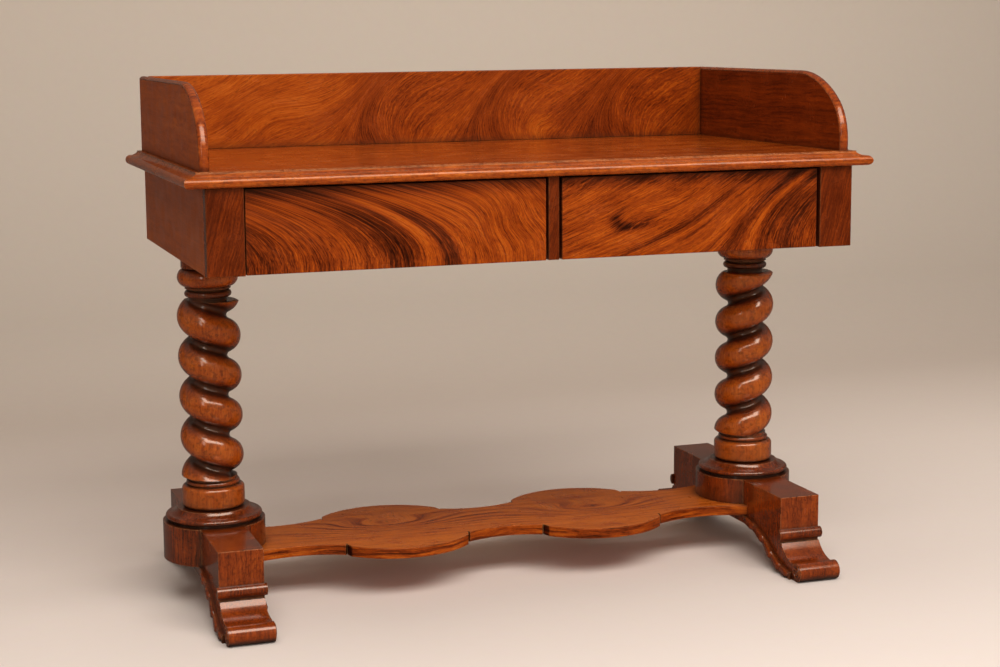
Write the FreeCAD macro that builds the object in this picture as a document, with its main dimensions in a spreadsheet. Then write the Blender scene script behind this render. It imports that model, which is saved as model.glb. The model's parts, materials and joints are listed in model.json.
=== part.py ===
import FreeCAD, Part
import Sketcher
import math
import os
from types import SimpleNamespace

from FreeCAD import Placement, Rotation, Vector

# A mahogany washstand: a galleried top on a frieze with two drawers, two barley-twist
# columns, trestle feet with scrolled toes and a shaped stretcher between them.
# Frame: +X to the right, +Y to the back, +Z up, origin on the floor under the middle.

# Driving sizes in millimetres
SIZES = {
    "top_length": 1220, "top_depth": 620, "top_height": 774, "top_thickness": 25,
    "top_moulding": 22, "top_fillet": 2.5, "nose_radius": 8.5,
    "gallery_height": 138, "gallery_thickness": 16, "gallery_back_thickness": 20,
    "gallery_setback": 31, "gallery_front_setback": 37, "gallery_curve_depth": 155,
    "gallery_curve_height": 115, "bead_width": 17, "bead_bulge": 5,
    "frieze_overhang": 35, "frieze_front_setback": 13, "frieze_height": 142,
    "frieze_thickness": 22, "stile_width": 62, "edge_ease": 1.2,
    "muntin_width": 19, "muntin_offset": 13, "muntin_recess": 1,
    "rail_width": 50, "rail_thickness": 22, "kicker_thickness": 20, "finger_gap": 22,
    "bearer_width": 75, "bearer_drop": 6, "centre_runner_width": 110, "guide_height": 25,
    "front_thickness": 20, "front_bottom_gap": 1, "front_top_gap": 3,
    "outer_gap_left": 1.5, "outer_gap_right": 7, "muntin_gap": 5,
    "box_inset": 3, "side_gap": 1.5, "running_gap": 0.3, "side_thickness": 12, "side_height": 86,
    "box_bottom_thickness": 8, "slip_width": 12, "slip_height": 5, "box_end_gap": 21,
    "stop_length": 36, "stop_gap": 0.3,
    "column_inset": 90.5, "tenon_radius": 18, "tenon_fit": 0.2, "foot_tenon": 40, "head_tenon": 22,
    "collar_radius": 85, "collar_height": 23, "collar_gap": 4, "collar_rim": 9, "collar_neck_radius": 64,
    "cushion_radius": 55, "cushion_height": 40, "cushion_round": 8,
    "ring_radius": 47, "ring_height": 9, "twist_seat_radius": 43, "twist_seat_height": 3,
    "twist_length": 315, "twist_pitch": 71, "twist_crest": 55, "twist_core": 31, "shoulder_height": 13,
    "barrel_margin": 2.5,
    "neck_radius": 33, "neck_height": 6, "cap_bead_radius": 41, "cap_bead_height": 12,
    "cap_fillet_radius": 40, "cap_fillet_height": 6, "capital_radius": 53, "capital_height": 34,
    "abacus_radius": 46,
    "foot_width": 77, "foot_height": 140, "foot_half_length": 310, "toe_projection": 80,
    "foot_bead_top": 81, "foot_bead_height": 21, "foot_bead_bulge": 9, "foot_bead_overhang": 4,
    "foot_groove": 4, "toe_radius": 17, "toe_overhang": 1, "cove_sag": 9,
    "sole_length": 17.2, "arch_flat": 90, "arch_height": 60, "arch_knee_height": 28,
    "strap_thickness": 14, "strap_projection": 6, "leaf_radius": 4.5, "drum_radius": 90,
    "stretcher_thickness": 19, "stretcher_waist": 72, "waist_notch_reach": 74, "waist_notch_width": 90,
    "lobe_width": 152, "end_notch_reach": 300, "end_notch_width": 96, "notch_step": 8,
    "stretcher_neck": 73, "neck_setback": 93, "stretcher_end_width": 96,
    "screw_radius": 2.2, "screw_head_radius": 4.5, "screw_head_height": 3, "screw_fit": 0.2,
    "screw_bite": 13, "gallery_screw_bite": 22, "rail_screw_margin": 103, "back_screw_margin": 263,
    "end_screw_margin": 160,
}
TWIST_TURNS = {"left": 202, "right": 125}   # degrees from X to where each column's crest starts
ROLL_SHARE = 0.82           # share of a pitch that the roll takes up
ROLL_EASE = 0.1             # how softly the roll runs into the hollow: 0 leaves a sharp line
GALLERY_ARC_SPLIT = 50      # degrees of the gallery curve that its smaller front arc turns
ENDS = ((-1, "front"), (1, "rear"))
LEAVES_PER_SIDE = 5         # notches along each half of a foot strap
SECTION_POINTS = 36         # points of the twisted section's closed curve
RAIL_SCREWS = 4             # screws along each upper rail
TOE_ROLL_SLANT = 42         # degrees from the top of a toe's roll to where its cove meets it
TOP_COVE = (0.4, 0.3)       # middle of the top's cove, as shares of its width and height
COLLAR_COVE = (0.35, 0.28)  # middle of a collar's hollow, as shares of its width and height
TOE_COVE = 0.36             # middle of a toe's cove, as a share of its length
SHOULDER_BEND = (0.75, 0.3) # middle of the shaft's shoulder, as shares of its width and height
LEAF_START = 0.1            # share of the arch where the first leaf's notch lies
LEAF_END = 0.72             # share of the arch where the last leaf's notch lies
LEAF_SINK = 0.35            # share of a leaf notch's radius that its centre lies under the strap

doc = FreeCAD.newDocument("washstand")
sheet = doc.addObject("Spreadsheet::Sheet", "Sizes")
for row, (alias, number) in enumerate(SIZES.items(), start=1):
    sheet.set(f"A{row}", alias)
    sheet.set(f"B{row}", str(number))
    sheet.setAlias(f"B{row}", alias)
doc.recompute()


def text_of(item):
    """The expression of a size or a plain number."""
    return item.text if isinstance(item, Size) else repr(float(item))


def value_of(item):
    """The value of a size or a plain number."""
    return item.value if isinstance(item, Size) else float(item)


class Size:
    """A length worked out from the sheet: its expression and its value in millimetres."""

    def __init__(self, text, value):
        self.text = text
        self.value = value

    def __add__(self, other):
        return Size(f"({self.text} + {text_of(other)})", self.value + value_of(other))

    def __sub__(self, other):
        return Size(f"({self.text} - {text_of(other)})", self.value - value_of(other))

    def __mul__(self, other):
        return Size(f"({self.text} * {text_of(other)})", self.value * value_of(other))

    def __truediv__(self, other):
        return Size(f"({self.text} / {text_of(other)})", self.value / value_of(other))

    def __neg__(self):
        return Size(f"(-{self.text})", -self.value)

    def leg(self, other):
        """The third side of a right triangle with this size as its longest side."""
        return Size(f"sqrt({self.text} ^ 2 - {text_of(other)} ^ 2)",
                    math.sqrt(self.value ** 2 - value_of(other) ** 2))


d = SimpleNamespace(**{alias: Size(f"Sizes.{alias}", float(sheet.get(alias))) for alias in SIZES})
ZERO = Size("0", 0)
nodes = []


def keep(part):
    """Count an object as one of the washstand's pieces."""
    nodes.append(part)
    return part


def place(part, corner):
    """Bind an object's place to the sheet."""
    for axis, item in zip("xyz", corner):
        part.setExpression(f"Placement.Base.{axis}", text_of(item))


def board(label, low, high, ease=False):
    """A rectangular board between two corners, with its edges eased where they show."""
    box = doc.addObject("Part::Box", f"{label}_blank" if ease else label)
    for name, start, end in zip(("Length", "Width", "Height"), low, high):
        box.setExpression(name, text_of(end - start))
    place(box, low)
    if not ease:
        return box
    doc.recompute()
    eased = doc.addObject("Part::Fillet", label)
    eased.Base = box
    radius = min(d.edge_ease.value, 0.4 * min(box.Length.Value, box.Width.Value, box.Height.Value))
    eased.Edges = [(index + 1, radius, radius) for index in range(len(box.Shape.Edges))]
    return eased


def post(label, radius, foot, height):
    """An upright cylinder standing on a point."""
    round_bar = doc.addObject("Part::Cylinder", label)
    round_bar.setExpression("Radius", text_of(radius))
    round_bar.setExpression("Height", text_of(height))
    place(round_bar, foot)
    return round_bar


def dowel(label, radius, length, corner):
    """A cylinder that lies along X from its corner."""
    rod = doc.addObject("Part::Cylinder", label)
    rod.setExpression("Radius", text_of(radius))
    rod.setExpression("Height", text_of(length))
    rod.Placement = Placement(Vector(), Rotation(Vector(0, 1, 0), 90))
    place(rod, corner)
    return rod


def cut(label, base, tools):
    """A piece with holes or housings taken out of it."""
    tool = tools[0]
    if len(tools) > 1:
        tool = doc.addObject("Part::MultiFuse", f"{label}_tools")
        tool.Shapes = tools
    piece = doc.addObject("Part::Cut", label)
    piece.Base = base
    piece.Tool = tool
    return piece


def sketch_on(body, role):
    """An empty sketch on one of a body's own planes."""
    plane = next(feature for feature in body.Origin.OriginFeatures if feature.Role == role)
    sketch = body.newObject("Sketcher::SketchObject", f"{body.Name}_sketch")
    sketch.AttachmentSupport = [(plane, "")]
    sketch.MapMode = "FlatFace"
    return sketch


def arc_through(start, middle, end):
    """A sketch arc through three points, and which of its ends is the start."""
    circle = Part.Arc(Vector(*start, 0), Vector(*middle, 0), Vector(*end, 0)).toShape().Curve
    centre, radius = circle.Center, circle.Radius
    turn = (middle[0] - start[0]) * (end[1] - middle[1]) - (middle[1] - start[1]) * (end[0] - middle[0])
    first, last = (start, end) if turn > 0 else (end, start)
    begin = math.atan2(first[1] - centre.y, first[0] - centre.x)
    stop = math.atan2(last[1] - centre.y, last[0] - centre.x)
    if stop <= begin:
        stop += 2 * math.pi
    arc = Part.ArcOfCircle(Part.Circle(centre, Vector(0, 0, 1), radius), begin, stop)
    return arc, (1, 2) if turn > 0 else (2, 1)


def pin(sketch, edge, end, point):
    """Bind one end of an edge to its place in the sheet's terms."""
    for kind, item in zip(("DistanceX", "DistanceY"), point):
        index = sketch.addConstraint(Sketcher.Constraint(kind, edge, end, value_of(item)))
        sketch.setExpression(f"Constraints[{index}]", text_of(item))


def draw(sketch, start, steps, closed=True):
    """Lines and arcs from start: a step is an end point, or a middle point and an end point."""
    here = start
    last = None
    for step in steps:
        points = [tuple(value_of(item) for item in point) for point in step]
        begin = tuple(value_of(item) for item in here)
        if len(step) == 1:
            shape, ends = Part.LineSegment(Vector(*begin, 0), Vector(*points[0], 0)), (1, 2)
        else:
            shape, ends = arc_through(begin, points[0], points[1])
        edge = sketch.addGeometry(shape, False)
        if last is None:
            first = (edge, ends[0])
            pin(sketch, edge, ends[0], start)
        else:
            sketch.addConstraint(Sketcher.Constraint("Coincident", *last, edge, ends[0]))
        last = (edge, ends[1])
        here = step[-1]
        if closed and step is steps[-1]:
            sketch.addConstraint(Sketcher.Constraint("Coincident", *last, *first))
        else:
            pin(sketch, *last, here)
    return sketch


def padded(label, role, start, steps, length, corner):
    """A body padded from one outline and moved to its place."""
    body = doc.addObject("PartDesign::Body", label)
    outline = draw(sketch_on(body, role), start, steps)
    pad = body.newObject("PartDesign::Pad", f"{label}_pad")
    pad.Profile = outline
    pad.setExpression("Length", text_of(length))
    place(body, corner)
    return body


def turned(label, start, steps, corner):
    """A body turned about its upright axis from an outline of radius and height."""
    body = doc.addObject("PartDesign::Body", label)
    outline = draw(sketch_on(body, "XZ_Plane"), start, steps)
    revolution = body.newObject("PartDesign::Revolution", f"{label}_turning")
    revolution.Profile = outline
    revolution.ReferenceAxis = (outline, ["V_Axis"])
    place(body, corner)
    return body


def screws(label, feet, reach):
    """Upright screws with their heads at the given feet, and the holes that take them."""
    made = {"screw": [], "hole": []}
    for number, foot in enumerate(feet, start=1):
        for kind, fit in (("screw", 0), ("hole", d.screw_fit)):
            name = f"{label}_{kind}_{number}"
            head = post(f"{name}_head", d.screw_head_radius + fit, foot, d.screw_head_height + fit)
            shank = post(f"{name}_shank", d.screw_radius + fit, foot, reach + fit)
            whole = doc.addObject("Part::Fuse", name)
            whole.Base = head
            whole.Tool = shank
            made[kind].append(whole)
    group = doc.addObject("Part::Compound", label)
    group.Links = made["screw"]
    keep(group)
    return made["hole"]


# Levels and faces that the pieces share
top_under = d.top_height - d.top_thickness
frieze_under = top_under - d.frieze_height
back_face = d.top_depth / 2
front_face = d.frieze_front_setback - d.top_depth / 2
behind_stile = front_face + d.frieze_thickness
inside_back = back_face - d.frieze_thickness
end_face = d.top_length / 2 - d.frieze_overhang
inside_end = end_face - d.frieze_thickness
stile_edge = end_face - d.stile_width
drawer_back_face = front_face + d.front_thickness
rail_front = drawer_back_face + d.finger_gap
rail_back = rail_front + d.rail_width
rear_rail = inside_back - d.rail_width
rail_under = frieze_under + d.bearer_drop
runner_top = rail_under + d.rail_thickness
kicker_under = top_under - d.kicker_thickness
column_x = d.top_length / 2 - d.column_inset
foot_side = d.foot_width / 2
block_half_length = d.foot_half_length - d.toe_projection
sole_start = d.foot_half_length - d.toe_radius - d.sole_length
muntin_left = d.muntin_offset - d.muntin_width / 2
muntin_right = d.muntin_offset + d.muntin_width / 2


def screw_lines():
    """Places of the screws that hold the top, along the middles of the two upper rails."""
    reach = inside_end - d.rail_screw_margin
    rows = (rail_front + d.rail_width / 2, rear_rail + d.rail_width / 2)
    return [(reach * (2 * number / (RAIL_SCREWS - 1) - 1), row, kicker_under)
            for row in rows for number in range(RAIL_SCREWS)]


def gallery_screw_places():
    """Places of the screws that rise through the top into the gallery's three boards."""
    end_middle = d.top_length / 2 - d.gallery_setback - d.gallery_thickness / 2
    back_middle = back_face - d.gallery_back_thickness / 2
    along_end = d.top_depth / 2 - d.end_screw_margin
    along_back = end_middle - d.gallery_thickness / 2 - d.back_screw_margin
    places = [(end_middle * side, along_end * row, top_under) for side in (-1, 1) for row in (-1, 1)]
    return places + [(along_back * number, back_middle, top_under) for number in (-1, 0, 1)]


def top_edge(reach, sign):
    """The moulded edge from the flat's arris to the underside: fillet, cove and rounded nose."""
    arris = reach - d.top_moulding
    root = reach - d.nose_radius
    lip = d.top_height - d.top_fillet
    nose_top = top_under + d.nose_radius * 2
    hollow = (arris + (root - arris) * TOP_COVE[0], nose_top + (lip - nose_top) * TOP_COVE[1])
    points = [[(arris, lip)], [hollow, (root, nose_top)],
              [(reach, top_under + d.nose_radius), (root, top_under)]]
    return [[(x * sign, z) for x, z in step] for step in points]


def make_top():
    """The top: its front section and its end section, each run out and kept where both agree."""
    reach, depth = d.top_length / 2, d.top_depth / 2
    arris_x, arris_y = reach - d.top_moulding, depth - d.top_moulding
    front = padded("top_front_run", "YZ_Plane", (-arris_y, d.top_height),
                   top_edge(depth, -1) + [[(depth, top_under)], [(depth, d.top_height)],
                                          [(-arris_y, d.top_height)]],
                   d.top_length, (-reach, ZERO, ZERO))
    right = top_edge(reach, 1)
    left = [[(-x, z) for x, z in step] for step in top_edge(reach, 1)]
    left_up = [[left[2][0], left[1][1]], [left[1][0], left[0][0]], [(-arris_x, d.top_height)]]
    ends = padded("top_end_run", "XZ_Plane", (arris_x, d.top_height),
                  right + [[(d.nose_radius - reach, top_under)]] + left_up + [[(arris_x, d.top_height)]],
                  d.top_depth, (ZERO, depth, ZERO))
    blank = doc.addObject("Part::MultiCommon", "top_blank")
    blank.Shapes = [front, ends]
    return blank


def gallery_curve():
    """The gallery end's front curve as two tangent arcs: middles and ends, from the front edge."""
    deep, tall = d.gallery_curve_depth.value, d.gallery_curve_height.value
    split = math.radians(GALLERY_ARC_SPLIT)
    across, up = math.cos(split), math.sin(split)
    small = (tall * across - deep * (1 - up)) / (up * across - (1 - across) * (1 - up))
    large = (deep - small * (1 - across)) / across

    def front_arc(angle):
        return (d.gallery_curve_depth * (small * (1 - math.cos(angle)) / deep),
                d.gallery_curve_height * (small * math.sin(angle) / tall))

    def top_arc(angle):
        return (d.gallery_curve_depth * (1 - large * math.sin(angle) / deep),
                d.gallery_curve_height * (1 - large * (1 - math.cos(angle)) / tall))

    rest = math.pi / 2 - split
    return [front_arc(split / 2), front_arc(split)], [top_arc(rest / 2), top_arc(0)]


def make_gallery(top_holes):
    """The gallery's back board, its two shaped ends and the bead on each end's front edge."""
    reach = d.top_length / 2 - d.gallery_setback
    inner = reach - d.gallery_thickness
    top = d.top_height + d.gallery_height
    back = board("gallery_back_blank", (-inner, back_face - d.gallery_back_thickness, d.top_height),
                 (inner, back_face, top), ease=True)
    keep(cut("gallery_back", back, top_holes[4:]))
    edge = d.gallery_front_setback - d.top_depth / 2
    end_height = d.gallery_height - d.bead_bulge
    spring = end_height - d.gallery_curve_height
    front_arc, top_arc = gallery_curve()
    curve = [[(edge + y, spring + z) for y, z in arc] for arc in (front_arc, top_arc)]
    rise = [[(edge, spring)]] + curve + [[(back_face, end_height)]]
    for side, sign, holes in (("left", -1, top_holes[:2]), ("right", 1, top_holes[2:4])):
        low_x = -reach if sign < 0 else inner
        middle_x = (reach + inner) / 2 * sign
        end = padded(f"gallery_end_{side}_blank", "YZ_Plane", (edge, ZERO),
                     rise + [[(back_face, ZERO)], [(edge, ZERO)]],
                     d.gallery_thickness, (low_x, ZERO, d.top_height))
        keep(cut(f"gallery_end_{side}", end, holes))
        body = doc.addObject("PartDesign::Body", f"gallery_bead_{side}")
        path = draw(sketch_on(body, "YZ_Plane"), (edge, ZERO), rise, closed=False)
        half = d.bead_width / 2
        section = draw(sketch_on(body, "XY_Plane"), (-half, edge),
                       [[(ZERO, edge - d.bead_bulge), (half, edge)], [(-half, edge)]])
        bead = body.newObject("PartDesign::AdditivePipe", f"gallery_bead_{side}_run")
        bead.Profile = section
        bead.Spine = (path, [f"Edge{number + 1}" for number in range(len(rise))])
        place(body, (middle_x, ZERO, d.top_height))
        keep(body)


def make_frieze(rail_holes):
    """The frieze: ends, back, corner stiles and muntin, with the rails that carry the drawers."""
    keep(board("frieze_back", (-inside_end, inside_back, frieze_under),
               (inside_end, back_face, top_under), ease=True))
    upper_front = board("upper_front_rail_blank", (-inside_end, rail_front, kicker_under),
                        (inside_end, rail_back, top_under))
    keep(cut("upper_front_rail", upper_front, rail_holes[:RAIL_SCREWS]))
    upper_rear = board("upper_rear_rail_blank", (-inside_end, rear_rail, kicker_under),
                       (inside_end, inside_back, top_under))
    keep(cut("upper_rear_rail", upper_rear, rail_holes[RAIL_SCREWS:]))
    keep(board("lower_front_rail", (-inside_end, rail_front, rail_under),
               (inside_end, rail_back, runner_top)))
    keep(board("lower_rear_rail", (-inside_end, rear_rail, rail_under),
               (inside_end, inside_back, runner_top)))
    muntin_low = (muntin_left, front_face + d.muntin_recess, frieze_under + d.front_bottom_gap)
    keep(board("centre_muntin", muntin_low, (muntin_right, rail_front, top_under), ease=True))
    for side, sign in (("left", -1), ("right", 1)):
        def span(near, far):
            return (-far, -near) if sign < 0 else (near, far)

        low, high = span(inside_end, end_face)
        keep(board(f"frieze_end_{side}", (low, behind_stile, frieze_under), (high, back_face, top_under),
                   ease=True))
        low, high = span(stile_edge, end_face)
        keep(board(f"corner_stile_{side}", (low, front_face, frieze_under), (high, behind_stile, top_under),
                   ease=True))
        low, high = span(stile_edge, inside_end)
        keep(board(f"corner_block_{side}", (low, behind_stile, rail_under), (high, rail_front, top_under)))
        low, high = span(inside_end - d.bearer_width, inside_end)
        bearer = board(f"column_bearer_{side}_blank", (low, rail_back, frieze_under),
                       (high, rear_rail, runner_top))
        socket = post(f"column_bearer_{side}_socket", d.tenon_radius + d.tenon_fit,
                      (column_x * sign, ZERO, frieze_under), d.head_tenon + d.tenon_fit)
        keep(cut(f"column_bearer_{side}", bearer, [socket]))
        keep(board(f"kicker_{side}", (low, rail_back, kicker_under), (high, rear_rail, top_under)))


def make_runners(drawers):
    """The middle runner and kicker, and the guides and stops set out from the drawer boxes."""
    low = d.muntin_offset - d.centre_runner_width / 2
    high = d.muntin_offset + d.centre_runner_width / 2
    keep(board("centre_runner", (low, rail_back, rail_under), (high, rear_rail, runner_top)))
    keep(board("centre_kicker", (low, rail_back, kicker_under), (high, rear_rail, top_under)))
    guide_top = runner_top + d.guide_height
    edges = {side: (low_x + d.box_inset - d.side_gap, high_x - d.box_inset + d.side_gap)
             for side, (low_x, high_x) in drawers.items()}
    guides = {"left": (-inside_end, edges["left"][0]), "centre": (edges["left"][1], edges["right"][0]),
              "right": (edges["right"][1], inside_end)}
    for side, (low_x, high_x) in guides.items():
        keep(board(f"drawer_guide_{side}", (low_x, rail_back, runner_top), (high_x, rear_rail, guide_top)))
    stop_face = inside_back - d.box_end_gap + d.stop_gap
    for side, (low_x, high_x) in drawers.items():
        stops = []
        for number, start in enumerate((low_x + d.stop_length, high_x - d.stop_length * 2), start=1):
            stops.append(board(f"drawer_stop_{side}_{number}", (start, stop_face, runner_top),
                               (start + d.stop_length, inside_back, guide_top)))
        group = doc.addObject("Part::Compound", f"drawer_stops_{side}")
        group.Links = stops
        keep(group)


def make_drawer(side, low_x, high_x):
    """A drawer: its front, two sides, back, bottom and the slips that carry the bottom."""
    keep(board(f"drawer_front_{side}", (low_x, front_face, frieze_under + d.front_bottom_gap),
               (high_x, drawer_back_face, top_under - d.front_top_gap), ease=True))
    floor = runner_top + d.running_gap
    rear = inside_back - d.box_end_gap
    side_top = floor + d.side_height
    left, right = low_x + d.box_inset, high_x - d.box_inset
    inner_left, inner_right = left + d.side_thickness, right - d.side_thickness
    bottom_under = floor + d.slip_height
    bottom_top = bottom_under + d.box_bottom_thickness
    keep(board(f"drawer_outer_side_{side}" if side == "left" else f"drawer_inner_side_{side}",
               (left, drawer_back_face, floor), (inner_left, rear, side_top)))
    keep(board(f"drawer_inner_side_{side}" if side == "left" else f"drawer_outer_side_{side}",
               (inner_right, drawer_back_face, floor), (right, rear, side_top)))
    keep(board(f"drawer_bottom_{side}", (inner_left, drawer_back_face, bottom_under),
               (inner_right, rear, bottom_top)))
    keep(board(f"drawer_back_{side}", (inner_left, rear - d.side_thickness, bottom_top),
               (inner_right, rear, side_top)))
    slips = []
    for number, start in enumerate((inner_left, inner_right - d.slip_width), start=1):
        slips.append(board(f"drawer_slip_{side}_{number}", (start, drawer_back_face, floor),
                           (start + d.slip_width, rear, bottom_under)))
    group = doc.addObject("Part::Compound", f"drawer_slips_{side}")
    group.Links = slips
    keep(group)


def roll(radius, low, height):
    """A half-round ring: to its widest and back in."""
    shrink = radius - height / 2
    return [[(shrink, low)], [(radius, low + height / 2), (shrink, low + height)]]


def cushion(radius, low, height, rounding):
    """A straight-sided ring with rounded shoulders."""
    diagonal = 1 - math.sqrt(0.5)
    shrink = radius - rounding
    inset = radius - rounding * diagonal
    high = low + height
    return [[(shrink, low)], [(inset, low + rounding * diagonal), (radius, low + rounding)],
            [(radius, high - rounding)], [(inset, high - rounding * diagonal), (shrink, high)]]


def twisted_shaft(left_hand, turn):
    """A shaft whose rolled section turns once in each pitch, cut back round its two shoulders.

    From s = 0 on the crest to s = 1 in the hollow, the section stands out from the core by a half
    ellipse, the root of 1 - (s / ROLL_SHARE) ** 2, whose foot is eased into the hollow.
    """
    core, crest = d.twist_core.value, d.twist_crest.value
    length, shoulder = d.twist_length.value, d.shoulder_height.value

    def lift(s):
        fall = 1 - (s / ROLL_SHARE) ** 2
        return math.sqrt((fall + math.hypot(fall, ROLL_EASE)) / 2)

    points = []
    for number in range(SECTION_POINTS):
        angle = 2 * math.pi * number / SECTION_POINTS
        s = 2 * min(number, SECTION_POINTS - number) / SECTION_POINTS
        radius = core + (crest - core) * (lift(s) - lift(1)) / (lift(0) - lift(1))
        points.append(Vector(radius * math.cos(angle), radius * math.sin(angle), 0))
    curve = Part.BSplineCurve()
    curve.interpolate(points, PeriodicFlag=True)
    lap = d.twist_seat_height.value
    section = Part.Wire([curve.toShape()])
    spine = Part.Wire([Part.makeLine(Vector(0, 0, 0), Vector(0, 0, length + 2 * lap))])
    helix = Part.makeHelix(d.twist_pitch.value, length + 2 * lap, crest, 0, left_hand)
    shell = Part.BRepOffsetAPI.MakePipeShell(spine)
    shell.setAuxiliarySpine(Part.Wire(helix.Edges), True, 0)
    shell.add(section)
    shell.build()
    shell.makeSolid()
    shaft = shell.shape()
    shaft.rotate(Vector(0, 0, 0), Vector(0, 0, 1), turn)
    shaft.translate(Vector(0, 0, -lap))
    seat, wide = d.twist_seat_radius.value, crest + d.barrel_margin.value
    bend = (seat + (wide - seat) * SHOULDER_BEND[0], shoulder * SHOULDER_BEND[1])
    corners = [Vector(0, 0, 0), Vector(seat, 0, 0), Vector(wide, 0, shoulder),
               Vector(wide, 0, length - shoulder), Vector(seat, 0, length), Vector(0, 0, length)]
    edges = [Part.makeLine(corners[0], corners[1]),
             Part.Arc(corners[1], Vector(bend[0], 0, bend[1]), corners[2]).toShape(),
             Part.makeLine(corners[2], corners[3]),
             Part.Arc(corners[3], Vector(bend[0], 0, length - bend[1]), corners[4]).toShape(),
             Part.makeLine(corners[4], corners[5]), Part.makeLine(corners[5], corners[0])]
    barrel = Part.Face(Part.Wire(edges)).revolve(Vector(0, 0, 0), Vector(0, 0, 1), 360)
    return shaft.common(barrel)


def make_column(side, sign):
    """A column: turned foot and head joined by the twisted shaft, with a tenon at each end."""
    axis = (column_x * sign, ZERO)
    collar_top = d.foot_height + d.collar_height
    ring_low = collar_top + d.cushion_height
    seat_low = ring_low + d.ring_height
    twist_low = seat_low + d.twist_seat_height
    foot = turned(f"column_{side}_foot", (ZERO, d.foot_height - d.foot_tenon),
                  [[(d.tenon_radius, d.foot_height - d.foot_tenon)], [(d.tenon_radius, collar_top)]]
                  + cushion(d.cushion_radius, collar_top, d.cushion_height, d.cushion_round)
                  + roll(d.ring_radius, ring_low, d.ring_height)
                  + [[(d.twist_seat_radius, seat_low)],
                     [(d.twist_seat_radius, twist_low + d.twist_seat_height)],
                     [(ZERO, twist_low + d.twist_seat_height)], [(ZERO, d.foot_height - d.foot_tenon)]],
                  (*axis, ZERO))
    head_low = twist_low + d.twist_length - d.twist_seat_height
    neck_low = head_low + d.twist_seat_height
    bead_low = neck_low + d.neck_height
    fillet_low = bead_low + d.cap_bead_height
    capital_low = fillet_low + d.cap_fillet_height
    abacus_low = capital_low + d.capital_height
    head_top = frieze_under + d.head_tenon
    spigot = d.twist_core - d.twist_seat_height
    head = turned(f"column_{side}_head", (ZERO, head_low),
                  [[(spigot, head_low)], [(spigot, neck_low)], [(d.neck_radius, neck_low)],
                   [(d.neck_radius, bead_low)]]
                  + roll(d.cap_bead_radius, bead_low, d.cap_bead_height)
                  + [[(d.cap_fillet_radius, fillet_low + d.cap_fillet_height / 2)],
                     [(d.cap_fillet_radius, capital_low)]]
                  + roll(d.capital_radius, capital_low, d.capital_height)
                  + [[(d.abacus_radius, abacus_low)], [(d.abacus_radius, frieze_under)],
                     [(d.tenon_radius, frieze_under)], [(d.tenon_radius, head_top)],
                     [(ZERO, head_top)], [(ZERO, head_low)]],
                  (*axis, ZERO))
    shaft = doc.addObject("Part::Feature", f"column_{side}_shaft")
    shaft.Shape = twisted_shaft(sign < 0, TWIST_TURNS[side])
    place(shaft, (*axis, twist_low))
    column = doc.addObject("Part::MultiFuse", f"column_{side}")
    column.Shapes = [foot, shaft, head]
    keep(column)


def make_collar(side, sign):
    """The ogee collar under a column: a set-in foot, a rounded rim and a hollow up to the neck."""
    low = d.foot_height
    rim_low = low + d.collar_gap
    rim_high = rim_low + d.collar_rim
    high = low + d.collar_height
    bore = d.tenon_radius + d.tenon_fit
    set_in = d.collar_radius - d.collar_rim
    rim_root = d.collar_radius - d.collar_rim / 2
    hollow = (d.collar_neck_radius + (rim_root - d.collar_neck_radius) * COLLAR_COVE[0],
              rim_high + (high - rim_high) * COLLAR_COVE[1])
    keep(turned(f"column_collar_{side}", (bore, low),
                [[(set_in, low)], [(set_in, rim_low)], [(rim_root, rim_low)],
                 [(d.collar_radius, rim_low + d.collar_rim / 2), (rim_root, rim_high)],
                 [hollow, (d.collar_neck_radius, high)], [(bore, high)], [(bore, low)]],
                (column_x * sign, ZERO, ZERO)))


def arch_point(share, lift):
    """A point of the foot's arch, raised by lift along its slope: 0 at the flat's end, 1 at the sole.

    The arch is two arcs of one angle, a crown that ends level with the flat and an instep that
    ends level with the sole, so tan(angle / 2) is its whole fall over its whole run.
    """
    run = sole_start - d.arch_flat
    angle = 2 * math.atan(d.arch_height.value / run.value)
    crown = (d.arch_height - d.arch_knee_height) / (1 - math.cos(angle))
    instep = d.arch_knee_height / (1 - math.cos(angle))
    if share < 0.5:
        turn = 2 * share * angle
        reach = d.arch_flat + crown * math.sin(turn)
        height = d.arch_height - crown * (1 - math.cos(turn))
    else:
        turn = 2 * (1 - share) * angle
        reach = sole_start - instep * math.sin(turn)
        height = instep * (1 - math.cos(turn))
    return reach + lift * math.sin(turn), height + lift * math.cos(turn)


def arch_line(lift):
    """Half of the foot's arch, raised by lift: the flat's end, then the crown and the instep."""
    points = [arch_point(number / 4, lift) for number in range(5)]
    return points[0], [points[1:3], points[3:5]]


def mirrored(start, steps):
    """The same run of lines and arcs, on the other side and walked the other way."""
    ends = [start] + [step[-1] for step in steps]
    back = []
    for number in range(len(steps) - 1, -1, -1):
        middle = [(-y, z) for y, z in steps[number][:-1]]
        back.append(middle + [(-ends[number][0], ends[number][1])])
    return back


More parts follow.
